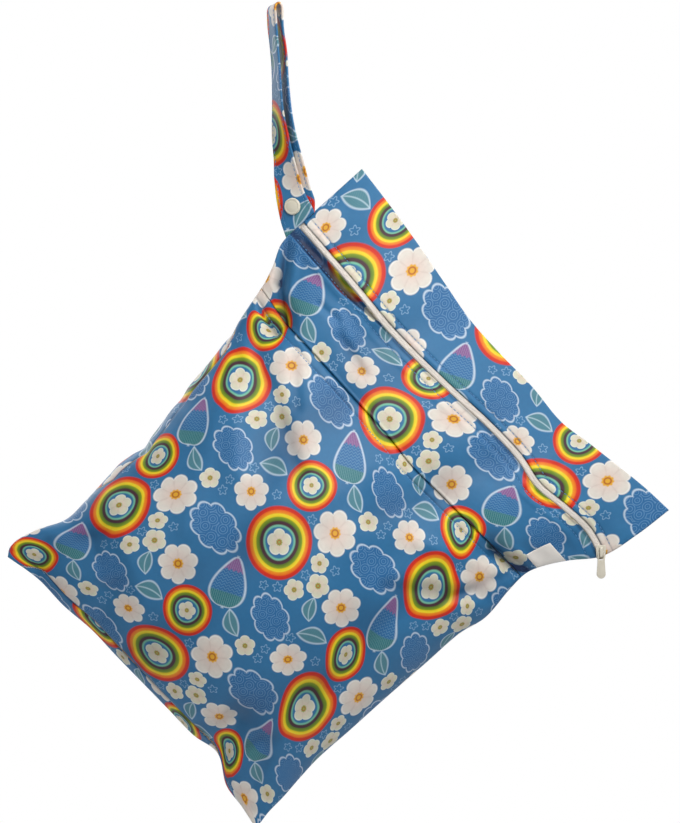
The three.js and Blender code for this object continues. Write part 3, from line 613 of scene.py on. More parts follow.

# %% [markdown]
# The frame's folds are broad. Real cloth adds finer ones: the edge of the zip's flap stands up as
# a ridge, the seams pucker where the thread pulls, and creases run out from the corner that
# carries the weight. Each is a short soft valley or ridge beside a line, and puckers are waves
# that fade away from their seam. The shade in them is worked out beside it and painted into the
# cloth's colour.

# %% Fine folds, puckers and their painted shade
HEM_DOWN, SEWN_ABOVE, SEWN_BELOW, COIL_CLEAR = 7.4, 7.5, 8.5, 2.6
LEFT_ROLL, FOOT_ROLL, NO_ROLL = 4.4, 6.5, 50
# The pinch's place; the most painted shade anywhere; and the painted shade where the front sinks under the pocket's
# lap.
PINCH, DARKEST, SINK_SHADE = (269, 99.4), 1.35, 0.15
# From and to in millimetres across and down, then height, width, for the front.
FRONT_CREASES = [
    (-2, 66, 20, 92, -4.5, 3.6), (-1, 66, 21, 92, -3.0, 1.3), (21, 92, 44, 107, -2.0, 1.3),
    (16, 110, 44, 116, -2.0, 1.4), (282, 97, 250, 105, -3.0, 1.5), (20, 92, 44, 107, -3.4, 3.0),
    (8, 66, 30, 92, 2.4, 3.6), (-4, 78, 10, 96, 3.0, 4.5), (14, 108, 44, 115, -4.2, 3.0),
    (30, 116, 60, 120, 0.8, 3.5), (278, 98, 246, 105, -5.0, 3.4), (256, 114, 208, 138, 2.0, 5.5),
    (272, 90, 250, 96, 1.6, 3.0), (28, 125, 122, 165, -2.4, 6.0), (35, 142, 95, 196, 1.8, 7.5),
    (272, 122, 216, 172, -2.6, 6.0), (120, 116, 150, 150, 0.6, 8.0), (196, 112, 176, 150, -0.6, 7.0),
    (60, 74, 96, 92, -0.6, 6.0), (150, 78, 205, 86, 0.5, 7.0), (215, 74, 260, 88, -0.7, 5.0),
    (44, 320, 66, 290, -1.6, 5.0), (84, 336, 96, 300, -1.2, 4.0), (120, 334, 126, 305, 0.8, 4.0),
    (226, 336, 214, 306, 1.6, 5.0), (238, 334, 246, 300, 1.0, 5.0), (262, 330, 240, 296, -1.8, 5.5),
    (62, 250, 92, 262, 0.5, 9.0), (30, 20, 120, 30, 0.5, 9.0), (170, 14, 250, 34, -0.6, 9.0),
    (232, 10, 236, 46, -0.9, 4.0), (8, 124, 48, 152, -2.0, 4.5), (43, 100, 89, 138, -1.8, 4.5),
    (56, 293, 81, 304, -0.7, 3.6), (265, 110, 248, 153, -1.9, 4.0), (231, 329, 235, 302, -1.3, 3.0),
    (48, 166, 99, 244, 1.5, 7.5), (230, 173, 235, 257, -1.3, 7.5), (150, 130, 190, 200, 1.0, 9.0),
    (105, 170, 150, 250, -1.2, 9.0), (75, 86, 102, 90, -1.6, 3.4), (49, 82, 63, 80, -1.4, 2.8),
    (60, 74, 78, 82, 0.9, 3.2), (40, 262, 120, 300, 1.3, 7.0), (150, 292, 210, 300, -1.1, 8.0),
    (-1, 67, 22, 92, -2.6, 1.0),
]
BACK_CREASES = [
    (0, 60, 60, 130, -2.2, 6.0), (20, 54, 120, 110, 1.0, 8.0), (300, 70, 230, 130, -1.6, 7.0),
    (40, 150, 90, 240, -0.9, 9.0), (150, 90, 170, 160, 0.8, 9.0), (262, 150, 220, 220, -0.9, 8.0),
    (44, 320, 70, 280, -1.6, 5.0), (120, 336, 130, 296, -1.0, 5.0), (190, 336, 186, 300, 0.8, 5.0),
    (228, 336, 216, 300, -1.6, 4.0), (266, 330, 240, 290, -1.0, 6.0), (100, 30, 200, 40, 0.6, 9.0),
]


def beside_line(u, v, start_u, start_v, end_u, end_v):
    """Distance of each place from a straight stretch between two points."""
    run_u, run_v = end_u - start_u, end_v - start_v
    along = ((u - start_u) * run_u + (v - start_v) * run_v) / (run_u**2 + run_v**2)
    along = np.clip(along, 0, 1)
    return np.hypot(u - start_u - along * run_u, v - start_v - along * run_v)


def broad_folds(u, v):
    """The frame's folds: each falls off with the square of the distance from its line."""
    total = np.zeros(np.broadcast(u, v).shape)
    for side, down, to_side, to_down, depth, width in FOLDS:
        away = beside_line(u, v, side * BAG_WIDTH, down * BAG_HEIGHT, to_side * BAG_WIDTH, to_down * BAG_HEIGHT)
        total += depth * FOLD_DEPTH * bell(away, width * FOLD_WIDTH)
    return total


def beside_zip(v, across):
    """Millimetres below the zip; how far below it the flap's edge stands, 10.4 at the strap and 3.6
    where it runs into the zip; and how much of the recess between them is left there."""
    return v - cross_line("zip", across), 10.4 - 6.8 * smooth(0.16, 0.31, across), 1 - smooth(0.22, 0.34, across)


def beside_pocket(v, across):
    """Millimetres below the pocket's fold, and below the sewn line of its hem."""
    below = v - cross_line("pocket", across)
    return below, below - HEM_DOWN


def rolled_seams(u, v, left, right, across):
    """Distance inwards from the inner side of the two rolls of back cloth that show in front, on
    the left seam and on the bottom one. Where there is no roll it is large."""
    on_left = LEFT_ROLL * smooth(130, 150, v) * smooth(278, 258, v)
    on_foot = FOOT_ROLL * smooth(0.03, 0.12, across) * smooth(0.8, 0.7, across)
    foot = cross_line("bottom", across) - v
    beside_left = np.where(on_left > 0.4, u - left - on_left, NO_ROLL)
    return np.minimum(beside_left, np.where(on_foot > 0.4, foot - on_foot, NO_ROLL))


def ripple(place, length, bend, strength=1.5):
    """A wave of this length along a seam, whose phase wanders so that it doesn't look ruled."""
    return np.sin(place * math.tau / length + strength * np.sin(place / bend))


def fine_folds(face, u, v, left, right, across):
    """Creases, long soft unevenness and the puckers beside the seams, in millimetres of height."""
    total = np.zeros(np.broadcast(u, v).shape)
    for *ends, height, width in FRONT_CREASES if face > 0 else BACK_CREASES:
        total += height * bell(beside_line(u, v, *ends), width)
    rng = np.random.default_rng(11 if face > 0 else 12)
    for length in (34, 45, 58, 76, 95):
        way, phase = rng.uniform(0, math.pi), rng.uniform(0, math.tau)
        total += 0.008 * length * np.sin((u * math.cos(way) + v * math.sin(way)) * math.tau / length + phase)
    side = np.minimum(u - left, right - u)
    foot = cross_line("bottom", across) - v
    total += 0.55 * ripple(v, 17, 19, 2) * bell(side - 9, 9)
    total += 0.5 * ripple(u, 15, 23, 2) * bell(foot - 9, 9)
    if face < 0:
        return total
    below, hem = beside_pocket(v, across)
    total += 0.4 * bell(below + 0.9, 0.7) + 0.4 * bell(hem + 3.9, 2.2)
    total += 0.22 * ripple(u, 9, 17) * bell(below - 6, 6)
    total -= 0.55 * bell(hem + 0.5, 0.8) * smooth(0.97, 0.85, across)
    zip_v, ridge, recess = beside_zip(v, across)
    between = (zip_v - (COIL_CLEAR + ridge) / 2) / (ridge - COIL_CLEAR) * 2
    total -= 4.2 * recess * np.exp(-(np.abs(between) ** 3)) + 0.4 * (1 - recess) * bell(zip_v - 4.4, 1.3)
    total += 2.4 * recess * np.exp(-np.abs(zip_v - ridge) / 1.3) + 0.5 * bell(zip_v - 12.0, 2.2)
    total -= 0.35 * (1 - recess) * bell(zip_v - SEWN_BELOW, 0.7) + 0.5 * bell(zip_v + SEWN_ABOVE, 0.8)
    total += 0.9 * bell(zip_v + 4.8, 1.6) + 0.2 * ripple(u, 8, 13) * bell(np.abs(zip_v) - 7, 4)
    roll = rolled_seams(u, v, left, right, across)
    return total - 1.3 * bell(roll, 0.7) - 0.3 * bell(roll - 2.5, 2.0)


def seam_shade(face, u, v, left, right, across):
    """How much shade is painted on the cloth at a seam or a fold, up to DARKEST: thin dark lines
    beside the zip, under the pocket's fold and along both rolls, and a dark pinch where the pocket
    meets the right seam. It is lessened along the hem's sewn line, so that line reads lighter."""
    if face < 0:
        return np.zeros(np.broadcast(u, v).shape)
    zip_v, ridge, recess = beside_zip(v, across)
    below, hem = beside_pocket(v, across)
    dark = 0.8 * bell(zip_v + 2.6, 0.6) + 0.5 * bell(zip_v + SEWN_ABOVE, 0.5)
    in_recess = smooth(2.0, 2.8, zip_v) * smooth(ridge - 0.2, ridge - 1.0, zip_v)
    dark += recess * in_recess * (0.5 + 0.5 * smooth(3.5, 8.5, zip_v))
    dark += (1 - recess) * (0.6 * bell(zip_v - 3.2, 0.7) + 0.25 * bell(zip_v - SEWN_BELOW, 0.5))
    dark += (0.35 * bell(hem + 1.0, 0.6) - 0.3 * bell(hem, 0.5)) * smooth(0.97, 0.85, across)
    dark += (0.15 + 0.2 * smooth(0.5, 0.9, across)) * smooth(-0.1, 0.2, below) * smooth(1.4, 0.4, below)
    dark += 0.12 * smooth(0.3, 0.8, across) * smooth(0, 0.5, below) * smooth(0.5, -0.5, hem)
    past_pinch = u - PINCH[0]
    dark += 2.0 * bell(past_pinch, 4.8) * bell(v - PINCH[1] + 0.7 * past_pinch, 2.2)
    dark += 0.4 * bell(past_pinch + 2, 8) * bell(v - PINCH[1] + 3.4, 5)
    return dark + 0.5 * bell(rolled_seams(u, v, left, right, across), 0.55)


print("creases", len(FRONT_CREASES), "front,", len(BACK_CREASES), "back")

# %% [markdown]
# One function gives any place on the bag. The cloth stands out from the middle plane by how full
# its row is, times an arch that is 0 at both side seams, plus its folds. The bag is then turned
# by its tilt and moved so that its strap's foot is where the strap hangs it.

# %% Places on the bag
STRAP_LEAN, STRAP_FALL, STRAP_FOOT_DOWN, STRAP_FOOT_GAP = 16.7, 144.7, 54.7, 0.7
TILT_COS, TILT_SIN = math.cos(BAG_TILT), math.sin(BAG_TILT)


def tilted(points):
    """Turns points about the Y axis by the bag's tilt."""
    x, y, z = np.moveaxis(points, -1, 0)
    return np.stack([TILT_COS * x + TILT_SIN * z, y, TILT_COS * z - TILT_SIN * x], axis=-1)


SEAM_NOTCHES = [(138, 1.2, 6), (192, 1.5, 7), (232, 2.2, 6), (251, -0.8, 6)]
corner = np.array([STRAP_LEAN, 0, -STRAP_FALL]) - tilted(np.array([-STRAP_FOOT_GAP, 0, -STRAP_FOOT_DOWN]))


def seam_pull(v):
    """Millimetres that the left seam is drawn in where its thread is tight: three soft notches,
    and a small bulge below the last."""
    return sum(reach * bell(v - at, wide) for at, reach, wide in SEAM_NOTCHES)


def bag_place(face, across, v, lift=0.0, inset=0.0, sink=0.0, painted_shades=None):
    """Where a place on the bag is, in metres: across from 0 to 1, v millimetres down, and lift
    millimetres above the cloth's outer side. Depth is swell times arch plus folds, less sink. A
    list given for the last argument also gets the shade painted at each place, for how little light
    reaches it."""
    top, bottom = cross_line("top", across), cross_line("bottom", across)
    down = np.clip((v - top) / (bottom - top), 0, 1)
    left = BAG_WIDTH * read_column(SECTIONS, "down", "left", down)
    right = BAG_WIDTH * (1 - read_column(SECTIONS, "down", "right", down))
    u = left + (right - left) * across + seam_pull(v) * (1 - across) ** 12
    arch = np.maximum(1 - (2 * across - 1) ** 2, 0) ** 0.6
    share = read_column(SECTIONS, "down", face, down)
    gate = np.minimum(1, share / 0.2) * np.minimum(1, arch * 2)
    small = fine_folds(face, u, v, left, right, across)
    depth = np.maximum(FULLNESS[face] * share * arch + (broad_folds(u, v) + small) * gate - sink, 0)
    # Painted shade: the seams' dark lines, plus more in the valleys of the fine folds and less on their ridges.
    if painted_shades is not None:
        painted_shades.append(np.clip(seam_shade(face, u, v, left, right, across) - gate * small / 6.0, 0, DARKEST))
    height = GAP / 2 + CLOTH + depth + lift
    x = u - inset * (2 * across - 1)
    points = np.stack(np.broadcast_arrays(x, -face * height, inset * down**3 - v), axis=-1)
    return (tilted(points) + corner) * MM


print("corner of the bag", np.round(corner, 1))

# %% [markdown]
# A panel of cloth is a closed sheet between two cross lines. Where its edge is a fold or a seam
# the two sides curve together, so that the edge is round and not cut. Its map is the length along
# the cloth in both directions, so that the print keeps its true scale on the swollen parts.

# %% Cloth panels
COLUMNS = 216
EDGE_STEPS = np.array([0, 0.06, 0.2, 0.42, 0.7, 1.1])
ROLL_SHIFT = (0.041, 0.019)


def across_of(columns):
    """Columns from 0 to 1, crowded towards both side seams."""
    t = np.linspace(0, 1, columns + 1)
    return (0.3 * t + 0.35 * (1 - np.cos(math.pi * t)))[None, :]


def cut_lengths(points, start):
    """The map of a sheet: length along its rows from the middle, and along its columns."""
    across = np.cumsum(np.linalg.norm(np.diff(points, axis=1, prepend=points[:, :1]), axis=2), axis=1)
    along = np.cumsum(np.linalg.norm(np.diff(points, axis=0, prepend=points[:1]), axis=2), axis=0)
    middle = points.shape[1] // 2
    along = along[:, middle:middle + 1] * 0.8 + along * 0.2
    return np.stack([across - across[:, middle:middle + 1] + start[0], start[1] - along], axis=-1)


def edge_round(distance, reach=0.6):
    """How far each side of the cloth goes towards its middle, this far from a rounded edge."""
    short = np.clip(1 - distance / (1.6 * reach), 0, 1)
    return 0.92 * reach * (1 - np.sqrt(1 - short**2))


def cloth_panel(name, face, across, v, sink=0.0, start=(0.0, 0.0)):
    """A closed sheet of cloth at these rows, with round edges all the way round."""
    v = np.broadcast_to(v, (v.shape[0], across.shape[1]))
    first, last = v - v[:1], v[-1:] - v
    sides = np.minimum(across, 1 - across) * BAG_WIDTH
    edge = np.maximum(edge_round(np.minimum(first, last)), edge_round(sides))
    painted_shades = []
    outer = bag_place(face, across, v, -edge, 0, sink, painted_shades)
    inner = bag_place(face, across, v, -CLOTH + edge, CLOTH * 0.8, sink)
    mapped = cut_lengths(outer, start) * (face, 1)
    if face > 0:
        down = np.clip(v / BAG_HEIGHT, 0, 1)
        left, right = (read_column(SECTIONS, "down", key, down) for key in ("left", "right"))
        u = BAG_WIDTH * (left + (1 - left - right) * across)
        rolled = rolled_seams(u, v, BAG_WIDTH * left, 0, across) < 0
        mapped = mapped + np.where(rolled, 1.0, 0.0)[..., None] * ROLL_SHIFT
    cloth = slab(name, outer, inner, mapped)
    # Painted shade kept at each point of both sides: that of the seams and folds, and more where the front sinks under
    # the band's lap, in the shadow of its fold.
    painted_shade = np.clip(painted_shades[0] + np.clip(sink / (CLOTH + 3 * GAP), 0, 1) * SINK_SHADE, 0, DARKEST)
    layer = cloth.data.attributes.new("painted_shade", "FLOAT", "POINT")
    layer.data.foreach_set("value", np.tile(np.broadcast_to(painted_shade, v.shape).ravel(), 2))
    return cloth


def rows_between(upper, lower, count, spacing=lambda q: q):
    """Rows from an upper line to a lower one, with extra ones for the round edges."""
    inner = spacing(np.linspace(0, 1, count + 1))[1:-1, None]
    reach = EDGE_STEPS[:, None]
    middle = upper + reach[-1] + (lower - upper - 2 * reach[-1]) * inner
    return np.concatenate([upper + reach, middle, lower - reach[::-1]])


across = across_of(COLUMNS)
SLOT = 4.7
zip_line, pocket_line = cross_line("zip", across), cross_line("pocket", across)
top_rows = rows_between(cross_line("top", across), zip_line - SLOT / 2, 84)
top_cloth = cloth_panel("top_cloth", 1, across, top_rows, start=(0.02, 0.0))
band_rows = rows_between(zip_line + SLOT / 2, pocket_line, 84)
band_cloth = cloth_panel("band_cloth", 1, across, band_rows, start=(0.02, -0.058))

# %% [markdown]
# The pocket's mouth is a fold: the upper cloth laps over the lower, which goes up behind it. At
# both ends, where all layers are caught in the side seams, they meet edge to edge.

# %% Lower front and back
arch = np.maximum(1 - (2 * across - 1) ** 2, 0) ** 0.6
LAP = 6
lapped = smooth(0.62, 0.8, arch)
upper = pocket_line + GAP - (LAP + GAP) * lapped
front_rows = rows_between(upper, cross_line("bottom", across), 196, lambda q: q - 0.06 * np.sin(q * math.tau))
past = smooth(pocket_line - 0.1, pocket_line + 2.2, front_rows)
front_sink = (CLOTH + 3 * GAP) * smooth(0.3, 0.6, arch) * (1 - past)
front_cloth = cloth_panel("front_cloth", 1, across, front_rows, front_sink, start=(0.02, -0.104))

crowded = lambda q: 0.5 * q + 0.25 * (1 - np.cos(math.pi * q))
back_rows = rows_between(cross_line("top", across), cross_line("bottom", across), 150, crowded)
back_cloth = cloth_panel("back_cloth", -1, across, back_rows, start=(0.055, 0.03))

CLOTHS = {"top_panel": top_cloth, "zip_band": band_cloth, "lower_front": front_cloth, "back_panel": back_cloth}
for node, cloth in CLOTHS.items():
    cloth.data.materials.append(printed_cloth)
    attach(cloth, "bag")
    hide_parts(node)
print("cloth pieces", len(CLOTHS))

# %% [markdown]
# Front and back are sewn together inside out and turned, so from the side a seam is a line where
# both cloths roll inwards and meet. Two separate sheets would let light through there. A slim
# roll of the same cloth, carried once round the outline, closes the seam from all sides.

# %% Seam all round the bag
def outline_path(steps=150):
    """Both side seams and the top and bottom edges as one closed path, in millimetres."""
    t = np.linspace(0, 1, steps, endpoint=False)
    top, bottom = (cross_line(name, np.array([0.0, 1.0])) for name in ("top", "bottom"))
    parts = [(t, cross_line("top", t)), (np.ones(steps), top[1] + (bottom[1] - top[1]) * t)]
    parts += [(1 - t, cross_line("bottom", 1 - t)), (np.zeros(steps), bottom[0] + (top[0] - bottom[0]) * t)]
    across_at, v_at = (np.concatenate(part) for part in zip(*parts))
    path = bag_place(1, across_at, v_at) / MM
    path[:, 1] = 0
    return path


edge_path = outline_path()
forward = np.roll(edge_path, -1, axis=0) - np.roll(edge_path, 1, axis=0)
forward /= np.linalg.norm(forward, axis=1, keepdims=True)
inward = np.cross(forward, [0.0, 1.0, 0.0])
inward *= np.sign(np.sum(inward * (edge_path.mean(axis=0) - edge_path)))
ROLL_SIDES, ROLL_RADIUS = 12, 0.8
round_seam = np.arange(ROLL_SIDES) / ROLL_SIDES * math.tau
around = np.cos(round_seam)[None, :, None] * inward[:, None]
around = around + np.sin(round_seam)[None, :, None] * np.array([0, 1.25, 0])
seam_points = (edge_path + inward * 0.85)[:, None] + around * ROLL_RADIUS
walked = np.cumsum(np.linalg.norm(np.diff(edge_path, axis=0, prepend=edge_path[:1]), axis=1))
seam_uv = np.stack(np.broadcast_arrays(walked[:, None] * MM, 0.66 + 0.0008 * round_seam[None, :]), axis=-1)
seam_faces = quads(*seam_points.shape[:2], wrap=True)
here, after = np.arange(ROLL_SIDES), (np.arange(ROLL_SIDES) + 1) % ROLL_SIDES
last = (len(edge_path) - 1) * ROLL_SIDES
closing = np.stack([here + last, after + last, after, here], axis=-1)
edge_seam = make_mesh("edge_seam", seam_points * MM, np.concatenate([seam_faces, closing]), seam_uv)
# The whole seam roll gets an even painted shade, for the crease where both cloths roll inwards.
shade_layer = edge_seam.data.attributes.new("painted_shade", "FLOAT", "POINT")
shade_layer.data.foreach_set("value", np.full(len(edge_path) * ROLL_SIDES, 0.35))
edge_seam.data.materials.append(printed_cloth)
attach(edge_seam, "bag")
print("outline", round(walked[-1]), "mm round")

# %% [markdown]
# The zip is a nylon coil sewn to a woven tape. Seen from outside, the closed coil is two rows of
# small round teeth that meet in a fine middle groove. Each row is a low dome with a rib for each
# tooth, and the second row's ribs fall between the first row's.

# %% Zip tape and coil
TOOTH, COIL_WIDTH, COIL_HEIGHT, TAPE_WIDTH, TAPE_INSET, SLIDER_INSET = 1.25, 4.3, 2.0, 14.0, 14.0, 3.5
zip_right = BAG_WIDTH * (1 - read_column(SECTIONS, "down", "right", np.array(ZIP_DOWN / BAG_HEIGHT)))
coil_start, coil_end = 0.006, 1 - (SLIDER_INSET + 2) / zip_right

tape_across = np.linspace(0.004, 0.997, 201)[None, :]
deep = smooth(0, TAPE_INSET / BAG_WIDTH, np.minimum(tape_across, 1 - tape_across))
tape_v = cross_line("zip", tape_across) + np.linspace(-0.5, 0.5, 9)[:, None] * TAPE_WIDTH
tape = slab(
    "woven_tape",
    bag_place(1, tape_across, tape_v, -1.25 - 0.85 * deep),
    bag_place(1, tape_across, tape_v, -1.35 - 1.55 * deep),
    np.stack(np.broadcast_arrays(tape_across * 0.3, tape_v * MM), axis=-1),
)

ribs = int(BAG_WIDTH * (coil_end - coil_start) / TOOTH)
coil_across = np.linspace(coil_start, coil_end, ribs * 6 + 1)[None, :]
q = np.sin(np.linspace(-math.pi / 2, math.pi / 2, 19))[:, None]
dome = np.sqrt(np.maximum(1 - q**2, 0)) ** 0.8
groove = 0.3 * bell(q, 0.08)
turn = (coil_across - coil_start) * BAG_WIDTH / TOOTH * math.tau + np.where(q > 0, math.pi, 0)
rib = 0.22 * np.cos(turn) * smooth(0.02, 0.2, np.abs(q)) * dome
ends = np.minimum((coil_across - coil_start), (coil_end - coil_across)) * BAG_WIDTH
rounded = np.sqrt(np.clip(1 - (1 - np.clip(ends / 2.5, 0, 1)) ** 2, 0.02, 1))
lift = -CLOTH - 0.3 + ((COIL_HEIGHT - 0.25) * dome - groove * dome + rib) * rounded
coil_v = cross_line("zip", coil_across) + q * COIL_WIDTH / 2 * (0.6 + 0.4 * rounded)
coil = slab(
    "zip_teeth",
    bag_place(1, coil_across, coil_v, lift),
    bag_place(1, coil_across, coil_v, np.full_like(lift, -CLOTH - 0.5)),
    np.stack(np.broadcast_arrays(coil_across * 0.3, coil_v * MM), axis=-1),
)
for piece, node, finish in [(tape, "zip_tape", zip_twill), (coil, "zip_coil", zip_nylon)]:
    piece.data.materials.append(finish)
    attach(piece, "bag")
    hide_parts(node)
print("teeth in each row", ribs)

# %% [markdown]
# The strap is one strip of the same cloth, folded lengthwise and sewn along both edges. It goes
# up behind, over the hook and down in front. A profile of its cross-section is carried along the
# strap's stations: the table gives each height's lean, turn and how far the two layers stand
# apart. The edges are a little thicker than the middle, where only two layers lie.

# %% Strap
STRAP_WIDTH, STRAP_THICK, LOOP_SPREAD, LAYER_SHIFT = 20.0, 1.8, 8.0, 5.0
STRAP = {
    "up": [0, .06, .13, .19, .3, .41, .52, .63, .74, .85, .93, 1],
    "lean": [1, .8, .63, .54, .41, .3, .25, .22, .18, .1, .03, 0],
    "turn": [20, 20, 20, 29, 45, 58, 67, 71, 73, 74, 74, 74],
    "spread": [0, 0, 0, 0, .04, .26, .46, .5, .5, .48, .46, .46],
    "shift": [0, .7, .95, 1, 1, .8, .4, .15, 0, 0, 0, 0],
    "slant": [1, .8, .3, 0, 0, 0, 0, 0, 0, 0, 0, 0],
}


def strap_station(up, layer):
    """Middle, width and outward directions of one layer, 1 at the back and -1 in front."""
    turn = np.radians(read_column(STRAP, "up", "turn", up))
    zero = np.zeros_like(turn)
    width = np.stack([np.cos(turn), -np.sin(turn), zero], axis=-1)
    outward = np.stack([np.sin(turn), np.cos(turn), zero], axis=-1)
    arc = LOOP_SPREAD / 2 - STRAP_THICK / 2
    lean = STRAP_LEAN * read_column(STRAP, "up", "lean", up)
    middle = np.stack([lean, zero, -STRAP_FALL + (STRAP_FALL - arc) * up], axis=-1)
    lying = STRAP_THICK + GAP
    spread = lying + (LOOP_SPREAD - lying) * read_column(STRAP, "up", "spread", up)
    shift = LAYER_SHIFT * read_column(STRAP, "up", "shift", up) * (layer > 0)
    middle = middle + outward * (layer * spread / 2)[..., None] + width * shift[..., None]
    slant = read_column(STRAP, "up", "slant", up) / math.tan(BAG_TILT)
    return middle, width, outward, slant


def strap_path(steps=150, arc_steps=20):
    """The stations from the back foot, over the top in a half circle, to the front foot."""
    up = np.arange(steps) / steps
    back, front = strap_station(up, 1), strap_station(up[::-1], -1)
    angle = np.linspace(0, math.pi, arc_steps + 1)
    top = list(strap_station(np.ones(arc_steps + 1), 0))
    round_top = np.linalg.norm(back[0][-1] - front[0][0]) / 2
    top[0] = top[0] + top[2] * (round_top * np.cos(angle))[:, None]
    top[0][:, 2] += LOOP_SPREAD / 2 * np.sin(angle)
    return [np.concatenate(parts) for parts in zip(back, top, front)]


middle, width, _, slant = strap_path()
FOOT_TUCK = 1.6
for foot, above in ((0, 1), (-1, -2)):
    way = middle[foot] - middle[above]
    middle[foot] += way / np.linalg.norm(way) * FOOT_TUCK
along = np.gradient(middle, axis=0)
normal = np.cross(along, width)
normal /= np.linalg.norm(normal, axis=1, keepdims=True)
half = width * STRAP_WIDTH / 2
half[:, 2] += half[:, 0] * slant
length = np.concatenate([[0], np.cumsum(np.linalg.norm(np.diff(middle, axis=0), axis=1))])


def strap_section():
    """Closed profile: from edge to edge and back, with its half thickness. It is rounded at the
    edges and dips along the two seams, 2.2 mm inside them."""
    s = np.sin(np.linspace(-math.pi / 2, math.pi / 2, 33))
    reach = np.abs(s) * STRAP_WIDTH / 2
    thick = STRAP_THICK / 2 * (0.9 - 0.26 * bell(reach - 7.8, 0.6) - 0.1 * smooth(8, 6, reach))
    thick = thick * np.sqrt(np.clip(1 - ((reach - 8.9) / 1.1).clip(0) ** 2, 0, 1))
    return np.concatenate([s, s[-2:0:-1]]), np.concatenate([thick, -thick[-2:0:-1]])


share, thick = strap_section()
wave = 0.25 * np.sin(length / 7.5 + 2 * np.sin(length / 21))[:, None] * smooth(5, 9.5, np.abs(share) * 10)[None, :]
proud = thick + wave * np.sign(share)
shape = middle[:, None] + half[:, None] * share[None, :, None] + normal[:, None] * proud[:, :, None]
count = len(share)
uv = np.stack(np.broadcast_arrays(share[None, :] * 0.01 + 0.217, length[:, None] * MM + 0.010), axis=-1)
faces = quads(len(middle), count, wrap=True)
profile = np.arange(count)
fans = []
for first in (0, (len(middle) - 1) * count):
    low, high = profile[:count // 2], np.roll(profile[::-1], 1)[:count // 2]
    cap = np.stack([low[:-1], low[1:], high[1:], high[:-1]], axis=-1) + first
    fans.append(cap if first == 0 else cap[:, ::-1])
strap = make_mesh("strap_cloth", shape * MM, np.concatenate([faces] + fans), uv)
strap.data.materials.append(printed_cloth)
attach(strap, "bag")
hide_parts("strap")
print("strap length", round(length[-1]), "mm")

# %% [markdown]
# The snap is moulded plastic: a cap on the front of the strap and another on its back. A cap is
# turned like a plate, so its profile is spun round its axis: a rolled rim, a fine step inside it
# and a very low crown.

# %% Snap caps
def spun(profile, sides, axis, at):
    """A profile of radius and height, spun round an axis that goes through a point."""
    axis = axis / np.linalg.norm(axis)
    side = np.cross(axis, [0.0, 0.0, 1.0])
    side /= np.linalg.norm(side)
    other = np.cross(axis, side)
    angle = np.arange(sides) / sides * math.tau
    ring = np.cos(angle)[:, None] * side + np.sin(angle)[:, None] * other
    radius, height = np.array(profile).T
    return at + radius[:, None, None] * ring[None] + height[:, None, None] * axis


CAP_PROFILE = [
    (0.02, 0.0), (5.2, 0.0), (5.5, 0.15), (5.68, 0.5), (5.7, 0.9), (5.6, 1.35), (5.35, 1.72), (5.0, 1.92),
    (4.6, 1.98), (4.35, 1.9), (4.15, 1.82), (3.9, 1.86), (3.2, 2.02), (2.0, 2.14), (1.0, 2.19), (0.02, 2.2),
]
SNAP_UP, CAP_SIDES, PROBE = 11.4, 64, 0.5 / 56
snap_up = SNAP_UP / STRAP_FALL
cap_front, cap_width, _, _ = strap_station(np.array([snap_up]), -1)
for name, node, layer in [("snap_front", "snap_cap", -1), ("snap_rear", "snap_back", 1)]:
    ends = [strap_station(np.array([snap_up + way * PROBE]), layer)[0] for way in (1, -1)]
    rise = ends[0] - ends[1]
    axis = np.cross(rise[0], cap_width[0]) * layer
    axis /= np.linalg.norm(axis)
    here = strap_station(np.array([snap_up]), layer)[0][0]
    base = cap_front[0] + axis * (np.dot(here - cap_front[0], axis) + STRAP_THICK / 2 + 0.05)
    rings = spun(CAP_PROFILE, CAP_SIDES, axis, base)
    cap = make_mesh(name, rings * MM, quads(*rings.shape[:2], wrap=True))
    cap.data.materials.append(ivory_plastic)
    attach(cap, "bag")
    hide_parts(node)

# %% [markdown]
# The slider and its pull keep the frame's shapes, with the small rounding that casting and
# enamel give every edge. A merged copy gets a Bevel, which is quicker and truer than drawing the
# same outline again.

# %% Slider and pull
import bmesh


def rounded_copy(name, node, body, width, finish):
    """A merged copy of a frame node whose sharp edges are rounded."""
    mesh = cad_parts[node].data.copy()
    mesh.materials.clear()
    shape = bmesh.new()
    shape.from_mesh(mesh)
    bmesh.ops.remove_doubles(shape, verts=shape.verts, dist=1e-6)
    bmesh.ops.dissolve_limit(shape, angle_limit=math.radians(3), verts=shape.verts, edges=shape.edges)
    shape.to_mesh(mesh)
    shape.free()
    obj = bpy.data.objects.new(name, mesh)
    bpy.context.scene.collection.objects.link(obj)
    bevel = obj.modifiers.new("round", "BEVEL")
    bevel.width, bevel.segments = width, 3
    bevel.limit_method, bevel.angle_limit = "ANGLE", math.radians(32)
    mesh.polygons.foreach_set("use_smooth", np.ones(len(mesh.polygons), bool))
    mesh.materials.append(finish)
    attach(obj, body)
    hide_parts(node)


rounded_copy("slider_body", "zip_slider", "bag", 0.0003, ivory_enamel)
rounded_copy("pull_tab", "zip_pull", "zip_pull", 0.00025, ivory_enamel)
print("slider and pull rounded")

# %% [markdown]
# A small satin tab is caught in the right side seam. It is left bare. Its free edge is a fold, so
# it is a little round, and it lifts slightly off the cloth.

